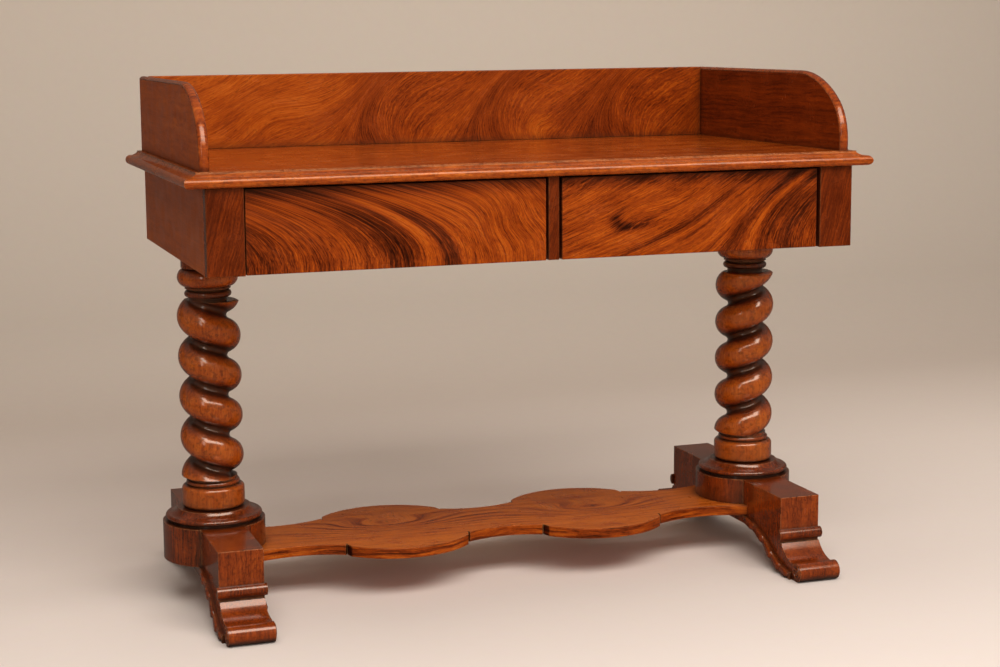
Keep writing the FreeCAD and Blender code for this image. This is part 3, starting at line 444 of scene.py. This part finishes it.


# %% [markdown]
# Each kind of piece has its own finish: the top is rubbed bright, partly as a painted highlight, the left end
# and the frieze's left end are lighter, a painted reflection of the pale room, and duller, the turned and
# carved pieces have thick shellac and grooves darkened by wax and painted shade, and the flamed drawer fronts
# are little worn, with a wide painted shade under the top's overhang.

# %% Finishes
UPRIGHT = (0, math.pi / 2, 0)
ALONG_Y = (0, 0, math.pi / 2)
STILE_GRAIN = (0, math.radians(75), 0)
MOULDING_WIDTH = 22
TOP_RIM = [float(size) - MOULDING_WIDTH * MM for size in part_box("top_board")[1][:2]]
FINISHES = {
    "top": polished_mahogany("polished_mahogany_top", swirl=30, line=4, stretch=60, contrast=0.6, lift=0.12,
                             shine=0.7, coat=0.3, wear_and_highlight=1.0, rim=TOP_RIM),
    "board": polished_mahogany("polished_mahogany_board", contrast=0.5, lift=0.06, shine=0.7, coat=0.5,
                               wear_and_highlight=0.8),
    # The high lifts of these two left-facing ends paint the pale room's reflection on them.
    "left_end": polished_mahogany("polished_mahogany_left_end_painted_reflection", ALONG_Y, contrast=0.3, lift=0.19, gloss=0.36,
                                  shine=0.25),
    "left_frieze": polished_mahogany("polished_mahogany_left_frieze_painted_reflection", ALONG_Y, contrast=0.3, lift=0.19,
                                     gloss=0.36, shine=0.6),
    "right_end": polished_mahogany("polished_mahogany_right_end", ALONG_Y, stretch=50, contrast=0.3,
                                   lift=-0.1, shine=0.25),
    "stile": polished_mahogany("polished_mahogany_stile", STILE_GRAIN, swirl=12, line=3, stretch=40,
                               contrast=0.3, lift=-0.15),
    "turned": polished_mahogany("turned_mahogany", UPRIGHT, swirl=18, line=3, contrast=0.45, lift=-0.1,
                                gloss=0.2, shine=0.8, coat=0.9, wear_and_highlight=0.9, wax_and_shade_depth=0.9, reach=40, specks=0.3),
    "twist": polished_mahogany("twisted_mahogany", UPRIGHT, swirl=18, line=3, contrast=0.4, lift=0.15,
                               gloss=0.24, shine=1.0, coat=0.9, wax_and_shade_depth=0.9, reach=50, specks=0.4,
                               crests=(36, 54)),
    "foot": polished_mahogany("carved_mahogany", UPRIGHT, swirl=14, line=2.5, contrast=0.4, lift=-0.02,
                              gloss=0.2, shine=0.7, coat=0.9, wear_and_highlight=1.0, wax_and_shade_depth=0.9, specks=0.3),
    "stretcher": polished_mahogany("figured_mahogany_stretcher", figured=True, swirl=8, band=40, line=6,
                                   contrast=0.65, lift=0.4, gloss=0.3, shine=0.4, wear_and_highlight=1.0),
    # The wide, deep corner darkening here paints the shade under the top's overhang on the drawer fronts.
    "flame": polished_mahogany("flame_mahogany", figured=True, swirl=4, band=14, line=1.6, stretch=40,
                               contrast=0.55, lift=0.03, wear_and_highlight=0.25, wax_and_shade_depth=0.7, reach=60),
    "gallery": polished_mahogany("figured_mahogany", figured=True, swirl=10, band=22, line=1.6, stretch=40,
                                 contrast=0.42, lift=0.03, wear_and_highlight=0.6),
}
DRESSED = {
    "top": ["top_board"],
    "board": ["gallery_bead_left", "gallery_bead_right", "frieze_back"],
    "left_end": ["gallery_end_left"],
    "left_frieze": ["frieze_end_left"],
    "right_end": ["gallery_end_right", "frieze_end_right"],
    "stile": ["corner_stile_left", "corner_stile_right", "centre_muntin"],
    "turned": ["column_collar_left", "column_collar_right", "foot_beads_left", "foot_beads_right",
               "drum_cheek_outer_left", "drum_cheek_outer_right", "drum_cheek_inner_left",
               "drum_cheek_inner_right"],
    "twist": ["column_left", "column_right"],
    "foot": ["foot_bar_left", "foot_bar_right", "foot_strap_left", "foot_strap_right"],
}
for finish, nodes in DRESSED.items():
    for node in nodes:
        frame["nodes"][node].data.materials[0] = FINISHES[finish]
print(f"{len(FINISHES)} finishes, {sum(map(len, DRESSED.values()))} pieces polished")

# %% [markdown]
# ## Figured boards
#
# The drawer fronts and the gallery back are cut from where a branch leaves the trunk, so their grain fans
# out like a flame or turns round a knot. A shader can't follow that by stretching noise, so each of these
# boards is a fine mesh with its own figure: for every point, how far along a streak it lies, which streak
# it belongs to, and how dark the flame is there.
#
# The boards have softly rounded arrises, as planed and polished wood has.

# %% Rounded boards
MERGE_SIZE = 0.001


def rounded_board(name, node, radius, cell):
    """A board in the node's place whose edges and corners have the given radius.

    A grid lies on each face of the box. With q as the point p held back from all faces by the radius, each
    point moves to q + radius * (p - q) / |p - q|, and that last direction is its normal.
    """
    low, high = (np.array(corner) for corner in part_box(node))
    centre, half = (low + high) / 2, (high - low) / 2
    edge = radius * np.array([0, 0.2, 0.45, 0.7])
    stations = []
    for size in half:
        inner = np.linspace(radius - size, size - radius, int(2 * (size - radius) / cell) + 2)
        stations.append(np.concatenate([edge - size, inner, size - edge[::-1]]))
    points, faces, count = [], [], 0
    for axis in range(3):
        second, third = (axis + 1) % 3, (axis + 2) % 3
        rows, columns = np.meshgrid(stations[second], stations[third], indexing="ij")
        for side in (-1, 1):
            grid = np.empty((rows.size, 3))
            grid[:, axis], grid[:, second], grid[:, third] = side * half[axis], rows.ravel(), columns.ravel()
            points.append(grid)
            faces.append(grid_faces(*rows.shape, start=count)[:, ::-side])
            count += rows.size
    points, faces = np.concatenate(points), np.concatenate(faces)
    held = np.clip(points, radius - half, half - radius)
    normals = (points - held) / np.linalg.norm(points - held, axis=1, keepdims=True)
    points = centre + held + radius * normals
    _, first, again = np.unique(np.round(points / (MERGE_SIZE * MM)), axis=0, return_index=True,
                                return_inverse=True)
    board = mesh_object(name, points[first], again.ravel()[faces], normals[first])
    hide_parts(node)
    return board


# %% [markdown]
# A streak is a line that leans: for each millimetre that it climbs it moves sideways by `lean(x, z)`
# millimetres. Following that rule down from any point to the lower edge gives the place where its streak
# starts, which names the streak. Round a knot the names rise to a peak, so the streaks close into rings.

# %% Flame figure


def streak_of(x, z, lean, steps=40):
    """Where the streak through each point starts on the lower edge: x falls by lean dz as z falls to 0."""
    drop = z / steps
    for _ in range(steps):
        x = x - lean(x, z) * drop
        z = z - drop
    return x


def even_spacing(streak, lean, height):
    """Streak names stretched so that leaning streaks are as wide as upright ones: dx / sqrt(1 + lean^2)."""
    marks = np.linspace(streak.min(), streak.max(), 800)
    gaps = np.diff(marks) / np.hypot(1, lean(marks, np.full(len(marks), height / 2)))[1:]
    return np.interp(streak, marks, np.concatenate([[0], np.cumsum(gaps)]))


def bands_at(streak, *bands):
    """A sum of soft bands, each with its middle, half width and depth: depth e^(-((s - middle) / half)^2)."""
    return sum(depth * np.exp(-((streak - middle) / half) ** 2) for middle, half, depth in bands)


def lay_figure(board, along, streak, dark, finish):
    """The figure attribute of a board, from mm along the grain, the streak in mm and the flame's depth."""
    layer = board.data.attributes.new("figure", "FLOAT_VECTOR", "POINT")
    layer.data.foreach_set("vector", np.stack([along * MM, streak * MM, dark], axis=1).ravel())
    board.data.materials.append(FINISHES[finish])


def set_figure(board, lean, knots, flame, finish):
    """The figure of an upright board from its lean, its knots and its flame, in mm.

    A knot is a hump of the given peak on the streak names, peak e^(-r^2), where r is 1 on an ellipse with the
    given half length and width, and its rim is dark on the lower left.
    """
    points = np.empty(len(board.data.vertices) * 3)
    board.data.vertices.foreach_get("co", points)
    points = points.reshape(-1, 3) / MM
    x, z = points[:, 0] - points[:, 0].min(), points[:, 2] - points[:, 2].min()
    streak = streak_of(x, z, lean)
    spread = even_spacing(streak, lean, z.max())
    dark = flame(x, z, streak)
    for knot_x, knot_z, length, width, slope, peak, rim in knots:
        along = ((x - knot_x) * math.cos(slope) + (z - knot_z) * math.sin(slope)) / length
        over = ((z - knot_z) * math.cos(slope) - (x - knot_x) * math.sin(slope)) / width
        ring = np.hypot(along, over)
        spread = spread + peak * np.exp(-ring ** 2)
        lower_left = np.clip(0.25 - 0.9 * along - 0.6 * over, 0, 1)
        dark = dark + rim * np.exp(-((ring - 0.95) / 0.3) ** 2) * lower_left
    lay_figure(board, z + 0.3 * x, spread, dark, finish)


# %% [markdown]
# The left drawer's streaks stand upright at its lower edge and sweep over to the left, in dark bands with a
# bright lick between them, and its right third is calm. The right drawer's streaks lean the other way and
# close round a knot. The gallery's streaks fan out to the right from a calm, honey-coloured left third.

# %% Drawer fronts and gallery back
BOARD_HEIGHT = 138
SHADED_FROM = 108
ARRIS_RADIUS = 1.2


def smooth_step(start, end, value):
    """0 before start, 1 after end, and 3 t^2 - 2 t^3 between them."""
    share = np.clip((value - start) / (end - start), 0, 1)
    return share ** 2 * (3 - 2 * share)


def left_lean(x, z):
    """Upright at the lower edge, falling to the left as z^1.4, and less so past x = 330."""
    return -2.25 * np.clip(z / 99, 0, None) ** 1.4 * (1 - 0.6 * smooth_step(330, 430, x))


def left_flame(x, z, streak):
    """Two dark bands with bright licks that fade upwards, and painted shade on the left third and under the
    top.
    """
    fade = 1 - smooth_step(80, 128, z)
    bands = bands_at(streak, (35, 30, 0.6), (90, 12, -0.3), (255, 34, 1.0), (310, 9, -0.7), (343, 20, 1.1))
    # The left third's darkening and the darkening under the top are painted shade.
    return fade * bands + 0.4 * (1 - smooth_step(90, 330, x)) + smooth_step(SHADED_FROM, BOARD_HEIGHT, z)


def right_lean(x, z):
    """Leaning to the right, 3.1 at the lower left and none at the lower right, 1.73 all along the top."""
    share = z / BOARD_HEIGHT
    return 3.1 * (1 - smooth_step(130, 390, x)) * (1 - share) + 1.73 * share


def right_flame(x, z, streak):
    """Narrow dark bands right of the knot, a darker right third and the top's shade."""
    bands = bands_at(streak, (95, 18, 0.7), (130, 8, -0.4), (160, 14, 0.5), (300, 22, 0.9), (345, 9, -0.4),
                     (372, 12, 0.8), (420, 26, 0.9))
    shade = smooth_step(SHADED_FROM, BOARD_HEIGHT, z)
    return bands * smooth_step(60, 200, x) + 0.3 * smooth_step(250, 420, x) + shade


def gallery_lean(x, z):
    """Leaning to the right, 4 at the lower left, 1.8 along the top, with a wave of 250 mm along x."""
    share = z / BOARD_HEIGHT
    return 4 * (1 - smooth_step(150, 420, x)) * (1 - share) + 1.8 * z / BOARD_HEIGHT + 0.6 * np.sin(x / 40)


def gallery_flame(x, z, streak):
    """A pale left third, broad dark bands that fade upwards and a bright spot over the knot."""
    calm = 1 - smooth_step(260, 480, x)
    broad = bands_at(streak, (230, 60, 0.5), (420, 45, 0.6), (560, 25, -0.5), (640, 60, 0.5), (900, 80, 0.5))
    bright = bands_at(x, (770, 34, 0.9)) * (1 - smooth_step(20, 60, z))
    return 0.1 - 0.6 * calm + broad * (1 - 0.6 * z / BOARD_HEIGHT) - bright


# node, body, finish, cell in mm, lean, knots (x, z, half length, half width, slope, peak, rim) and flame
FIGURES = (
    ("drawer_front_left", "left_drawer", "flame", 2.2, left_lean,
     ((450, 62, 60, 30, 0.3, 14, 0.0),), left_flame),
    ("drawer_front_right", "right_drawer", "flame", 2.2, right_lean,
     ((140, 73, 46, 22, 0.3, 12, 1.6),), right_flame),
    ("gallery_back", "carcase", "gallery", 3.0, gallery_lean,
     ((766, 22, 26, 20, 0.0, 10, 0.4), (215, 60, 80, 45, 0.2, 34, 0.3)), gallery_flame),
)
for node, body, finish, cell, lean, knots, flame in FIGURES:
    board = rounded_board(f"{node}_figured", node, ARRIS_RADIUS * MM, cell * MM)
    set_figure(board, lean, knots, flame, finish)
    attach(board, body)
    print(f"{node}: {len(board.data.polygons)} faces")

# %% [markdown]
# ## The stretcher
#
# The board between the feet was sawn to a scalloped outline: a waist, two lobes and two flared ends, with a
# small V cut where the curves meet. Its half width is a function of x, made of arcs through three points.

# %% Stretcher's outline
NOTCHES, NOTCH_DEPTH, NOTCH_HALF = (74, 300), 8, 4
WAIST = ((-74, 90), (0, 72), (74, 90))
LOBE = ((74, 98), (187, 152), (300, 104))
FLARED_END = ((300, 96), (388, 73), (481, 96))


def arc_at(x, *three):
    """y on the circle through three points, whose centre lies on the bisectors of their chords."""
    first, middle, last = np.array(three, float)
    chords = np.array([middle - first, last - first])
    centre = np.linalg.solve(chords, (chords * (np.array([middle, last]) + first)).sum(axis=1) / 2)
    height = np.sqrt(np.clip(np.sum((first - centre) ** 2) - (x - centre[0]) ** 2, 0, None))
    return centre[1] + np.sign(middle[1] - centre[1]) * height


def stretcher_half_width(x):
    """Half the stretcher's width at x: the waist's, a lobe's or an end's arc, less the V cuts."""
    reach = np.abs(x)
    width = np.select([reach < notch for notch in NOTCHES], [arc_at(reach, *WAIST), arc_at(reach, *LOBE)],
                      arc_at(reach, *FLARED_END))
    cuts = [np.clip(1 - np.abs(reach - notch) / NOTCH_HALF, 0, 1) for notch in NOTCHES]
    return width - NOTCH_DEPTH * sum(cuts)


print(f"stretcher's waist: {2 * stretcher_half_width(0.0):.0f} mm")

# %% [markdown]
# The board is one closed cross-section carried along x. The section goes across the top, round two eased
# arrises, back along the underside and up again. A table gives each of its points a share of the half width,
# the direction of its normal, and whether it belongs to the lower half.

# %% Stretcher's board
EASE = 1.5
ARC_POINTS = 4
low, high = (np.array(corner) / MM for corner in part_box("stretcher"))
thickness = high[2] - low[2]
cuts = np.concatenate([sign * notch + NOTCH_HALF * np.linspace(-1, 1, 9)
                       for notch in NOTCHES for sign in (-1, 1)])
stations = np.unique(np.concatenate([np.linspace(low[0], high[0], 300), cuts]))
angles = np.linspace(0, math.pi / 2, ARC_POINTS + 1)
leave, enter = angles[1:], angles[:-1]
over, under = np.linspace(-1, 1, 90), np.linspace(1, -1, 20)
share = np.concatenate([over, np.ones(2 * ARC_POINTS), under, -np.ones(2 * ARC_POINTS)])
outward = np.concatenate([0 * over, np.sin(leave), np.cos(enter), 0 * under, -np.sin(leave), -np.cos(enter)])
upward = np.concatenate([0 * over + 1, np.cos(leave), -np.sin(enter),
                         0 * under - 1, -np.cos(leave), np.sin(enter)])
lower = np.repeat([False, False, True, True, True, False],
                  [len(over), ARC_POINTS, ARC_POINTS, len(under), ARC_POINTS, ARC_POINTS])
fall = EASE * upward - np.where(lower, thickness - EASE, EASE)

count = len(stations)
x = np.repeat(stations, len(share))
half_width = stretcher_half_width(x)
y = np.tile(share, count) * (half_width - EASE) + EASE * np.tile(outward, count)
z = high[2] + np.tile(fall, count)
wrapped = np.arange(count * len(share)).reshape(count, len(share))
wrapped = np.hstack([wrapped, wrapped[:, :1]])
sides = np.stack([wrapped[:-1, :-1], wrapped[1:, :-1], wrapped[1:, 1:], wrapped[:-1, 1:]], axis=2)
caps = [wrapped[0, :-1].tolist(), wrapped[-1, -2::-1].tolist()]
slope = np.repeat(np.gradient(stretcher_half_width(stations), stations), len(share))
tilt = np.tile(outward, count)
normals = np.stack([-slope * np.abs(tilt), tilt, np.tile(upward, count)], axis=1)
board = mesh_object("stretcher_board", np.stack([x, y, z], axis=1) * MM, sides.reshape(-1, 4).tolist() + caps,
                    normals / np.linalg.norm(normals, axis=1, keepdims=True))
print(f"stretcher: {len(board.data.polygons)} faces, widest {2 * half_width.max():.0f} mm")

# %% [markdown]
# Its grain runs along the board and closes into rings on each lobe, where the saw cut through a bulge of the
# trunk: a hump on the streak names, as round a knot. Dark growth lines show on the rings, the sawn edge shows
# the layers on end, and the V cuts are darker: dirt, and painted shade in the cuts.

# %% Stretcher's grain
RING_MIDDLES = ((-195, 14), (205, -8))
RING_LENGTH, RING_WIDTH, RING_PEAK, RING_REACH = 120, 46, 75, 1.6
GROWTH_SPACING = 20
GROWTH_DEPTH, EDGE_DEPTH, CUT_DIRT_AND_SHADE = 1.9, 1.5, 2
rings = [np.hypot((x - along) / RING_LENGTH, (y - aside) / RING_WIDTH) for along, aside in RING_MIDDLES]
grain = y + 0.06 * x + sum(RING_PEAK * np.exp(-ring ** 2) for ring in rings) + z - high[2]
growth = sum(np.exp(-(ring / RING_REACH) ** 2) for ring in rings)
growth = growth * np.sin(math.pi * grain / GROWTH_SPACING) ** 4
sawn_edge = np.abs(y) > half_width - 0.7 * EASE
in_cut = sum(np.abs(np.abs(x) - notch) < NOTCH_HALF for notch in NOTCHES)
dark = np.where(sawn_edge, EDGE_DEPTH, GROWTH_DEPTH * growth)
# Darker in the V cuts: dirt and painted shade.
dark = dark + CUT_DIRT_AND_SHADE * in_cut * (np.abs(y) > half_width - 2 * EASE)
lay_figure(board, x, np.where(sawn_edge, z, grain), dark, "stretcher")
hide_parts("stretcher")
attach(board, "carcase")
print(f"stretcher: {np.count_nonzero(sawn_edge)} points on the sawn edge")

# %% [markdown]
# ## Carved leaves and volutes
#
# Along both edges of the strap under each foot a row of leaves is carved, each lapping over the next towards
# the toe, and the round toes end in a small scroll. The leaves are one closed section carried along the
# foot's arch, which swells and falls once for each leaf; the scroll is a round bead carried along a spiral.

# %% Arch and tubes
ARCH_FLAT, ARCH_HEIGHT, KNEE_HEIGHT, SOLE_START = 90, 60, 28, 275.8


def arch_at(share, lift):
    """Reach and height of the foot's arch, 0 at its flat and 1 at its sole, raised by lift along its slope.

    It is two arcs of one angle: a crown that starts level and an instep that ends level.
    """
    angle = 2 * math.atan(ARCH_HEIGHT / (SOLE_START - ARCH_FLAT))
    crown, instep = (size / (1 - math.cos(angle)) for size in (ARCH_HEIGHT - KNEE_HEIGHT, KNEE_HEIGHT))
    turn = 2 * angle * np.minimum(share, 1 - share)
    reach = np.where(share < 0.5, ARCH_FLAT + crown * np.sin(turn), SOLE_START - instep * np.sin(turn))
    height = np.where(share < 0.5, ARCH_HEIGHT - crown * (1 - np.cos(turn)), instep * (1 - np.cos(turn)))
    return reach + lift * np.sin(turn), height + lift * np.cos(turn)


def closed_tubes(name, tubes):
    """One mesh of closed tubes: each a grid of points, (stations, around, 3) in mm, with a cap at each end.

    The faces of a tube are turned round where the volume inside them, a sixth of the sum of
    corner . (corner x corner), comes out negative.
    """
    points, faces, count = [], [], 0
    for grid in tubes:
        index = count + np.arange(grid.shape[0] * grid.shape[1]).reshape(grid.shape[:2])
        ring = np.hstack([index, index[:, :1]])
        quads = np.stack([ring[:-1, :-1], ring[:-1, 1:], ring[1:, 1:], ring[1:, :-1]], axis=2).reshape(-1, 4)
        flat = grid.reshape(-1, 3) - grid.reshape(-1, 3).mean(axis=0)
        a, b, c, e = (flat[quads[:, corner] - count] for corner in range(4))
        volume = np.sum(a * np.cross(b, c)) + np.sum(a * np.cross(c, e))
        turned = 1 if volume > 0 else -1
        faces += quads[:, ::turned].tolist()
        faces += [index[0, ::-turned].tolist(), index[-1, ::turned].tolist()]
        points.append(grid.reshape(-1, 3))
        count += index.size
    return mesh_object(name, np.concatenate(points) * MM, faces)


# %% [markdown]
# A row of leaves and a scroll are both closed tubes, so they differ only in the formula for their points.
# Real geometry shows their outline against the floor, which a bump in the finish couldn't.

# %% Leaves and volutes
STRAP_HALF_WIDTH, STRAP_MIDDLE, LEAVES = 44.5, 7, 5
TOE_Y, TOE_Z, TOE_HALF_WIDTH = 293, 17, 39.5
BEAD_RADIUS, SPIRAL_START, SPIRAL_FALL, SPIRAL_TURNS = 1.9, 13.5, 10, 1.7
SPIRAL_ANGLE = math.radians(125)


def leaf_row(foot_x, side, end):
    """Leaves along one edge of a strap: a half round, 7 + b cos v high and a sin v wide, which follows t.

    t runs from 0 to 1 over each leaf; the leaf swells with t and falls to its tip in the last fifth, and a
    groove is cut along its middle.
    """
    share, v = np.meshgrid(np.linspace(0.02, 0.97, 150), np.linspace(0, 2 * math.pi, 21)[:-1], indexing="ij")
    t = (share * LEAVES) % 1
    leaf = t ** 0.8 * (1 - smooth_step(0.8, 1.0, t))
    taper = smooth_step(0, 0.08, share) * (1 - smooth_step(0.9, 1.0, share)) + 0.08
    groove = 1.4 * leaf * np.exp(-((v - math.pi / 2) / 0.3) ** 2)
    out = np.where(np.sin(v) > 0, (1.5 + 4 * leaf) * np.sin(v) - groove, 3 * np.sin(v)) * taper
    reach, height = arch_at(share, STRAP_MIDDLE + (5.5 + 2.4 * leaf) * taper * np.cos(v))
    return np.stack([foot_x + side * (STRAP_HALF_WIDTH + out), end * reach, height], axis=2)


def volute(foot_x, side, end):
    """A round bead on a toe's end, along the spiral rho = start - fall * share, winding inwards."""
    share, v = np.meshgrid(np.linspace(0, 1, 70), np.linspace(0, 2 * math.pi, 11)[:-1], indexing="ij")
    rho = SPIRAL_START - SPIRAL_FALL * share + BEAD_RADIUS * np.cos(v)
    turn = SPIRAL_ANGLE - 2 * math.pi * SPIRAL_TURNS * share
    return np.stack([foot_x + side * (TOE_HALF_WIDTH + BEAD_RADIUS * np.sin(v)),
                     end * (TOE_Y + rho * np.cos(turn)), TOE_Z + rho * np.sin(turn)], axis=2)


for hand, foot_x in (("left", -COLUMN_X / MM), ("right", COLUMN_X / MM)):
    corners = [(foot_x, side, end) for side in (-1, 1) for end in (-1, 1)]
    for name, shape in ((f"foot_leaves_{hand}", leaf_row), (f"toe_volutes_{hand}", volute)):
        carving = closed_tubes(name, [shape(*corner) for corner in corners])
        carving.data.materials.append(FINISHES["foot"])
        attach(carving, "carcase")
        print(f"{name}: {len(carving.data.polygons)} faces")

# %% [markdown]
# ## Inside and behind
#
# What nobody polishes is pine: rails, bearers and runners straight from the plane, and thinner, cleaner
# boards for the drawer boxes. Pine shows yellow early wood between thin brown late-wood lines, some
# millimetres apart, and greys in the corners, with dust and with painted shade from ambient occlusion. The
# streaks of the mahogany serve here too, with other widths and colours. Each board's grain runs along its
# longer side.

# %% Pine
PINE_STREAKS = ((60, 500, 2), (6, 320, 3), (1, 40, 2))
PINE_WEIGHTS, PINE_TONE = (0.6, 0.8, 0.3), -0.35
DUST_AND_SHADE_REACH = 30


def planed_pine(name, grain, pale, late, dust_and_shade):
    """Pine with late-wood lines 6 mm apart, whose grain is turned from X by three angles."""
    material, tree = empty_material(name)
    place = grain_place(tree, grain, False)
    layers = [streaks(tree, place, width, length, detail, 0.5) for width, length, detail in PINE_STREAKS]
    tone = PINE_TONE
    for layer, weight in zip(layers, PINE_WEIGHTS):
        tone = add(tree, "Math", {0: layer, 1: weight, 2: tone}, operation="MULTIPLY_ADD").outputs[0]
    wood = add(tree, "ValToRGB", {"Fac": tone}, stops=((0.3, pale), (0.8, late)))
    # Greyer where other faces stand close by: dust, and painted shade.
    corner = add(tree, "AmbientOcclusion", {"Distance": DUST_AND_SHADE_REACH * MM}, samples=4)
    grey = add(tree, "MapRange", {"Value": corner.outputs["AO"], "From Min": 0.9, "From Max": 0.3,
                                  "To Max": 0.6})
    wood = add(tree, "Mix", {"Factor": grey.outputs["Result"], "A": wood.outputs["Color"], "B": linear(dust_and_shade)},
               data_type="RGBA")
    matt = add(tree, "MapRange", {"Value": layers[1], "To Min": 0.62, "To Max": 0.8})
    relief = add(tree, "Bump", {"Height": layers[1], "Strength": 0.2, "Distance": 0.3 * MM})
    board = add(tree, "BsdfPrincipled", {"Base Color": wood.outputs["Result"], "IOR": 1.5,
                                         "Roughness": matt.outputs["Result"], "Specular IOR Level": 0.3,
                                         "Normal": relief.outputs["Normal"]})
    add(tree, "OutputMaterial", {"Surface": board.outputs["BSDF"]})
    return material


FRAMING, LINING = ("#a97c4c", "#7a4d28", "#4d3a28"), ("#b48c5a", "#865a31", "#5e472f")
framing = {True: planed_pine("planed_pine_along", (0, 0, 0), *FRAMING),
           False: planed_pine("planed_pine_deep", ALONG_Y, *FRAMING)}
lining = {True: planed_pine("waxed_pine_along", (0, 0, 0), *LINING),
          False: planed_pine("waxed_pine_deep", ALONG_Y, *LINING)}
print("pine for framing and drawer linings")

# %% [markdown]
# The screws are plain steel, dulled by age, with spots of rust where the damp got in. One noise sets both the
# colour and the roughness, so that the rusty spots are also the rough ones.

# %% Steel, and dressing what isn't polished
RUST_SIZE = 4
steel, tree = empty_material("dulled_steel")
where = add(tree, "TexCoord").outputs["Object"]
bloom = add(tree, "TexNoise", {"Vector": where, "Scale": 1 / (RUST_SIZE * MM), "Detail": 4}).outputs["Fac"]
rust = add(tree, "ValToRGB", {"Fac": bloom}, stops=((0.5, "#8b8680"), (0.7, "#5c3a26")))
worn = add(tree, "MapRange", {"Value": bloom, "To Min": 0.3, "To Max": 0.7})
metal = add(tree, "BsdfPrincipled", {"Base Color": rust.outputs["Color"], "Metallic": 1.0,
                                     "Roughness": worn.outputs["Result"]})
add(tree, "OutputMaterial", {"Surface": metal.outputs["BSDF"]})

unpolished = 0
for piece in frame["record"]["subparts"]:
    width, depth, _ = np.subtract(*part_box(piece["node"])[::-1])
    along = bool(width > depth)
    plain = {"pine_framing": framing[along], "drawer_lining": lining[along], "steel_screws": steel}
    if piece["material_slot"] in plain:
        frame["nodes"][piece["node"]].data.materials[0] = plain[piece["material_slot"]]
        unpolished += 1
print(f"{unpolished} unpolished pieces dressed")
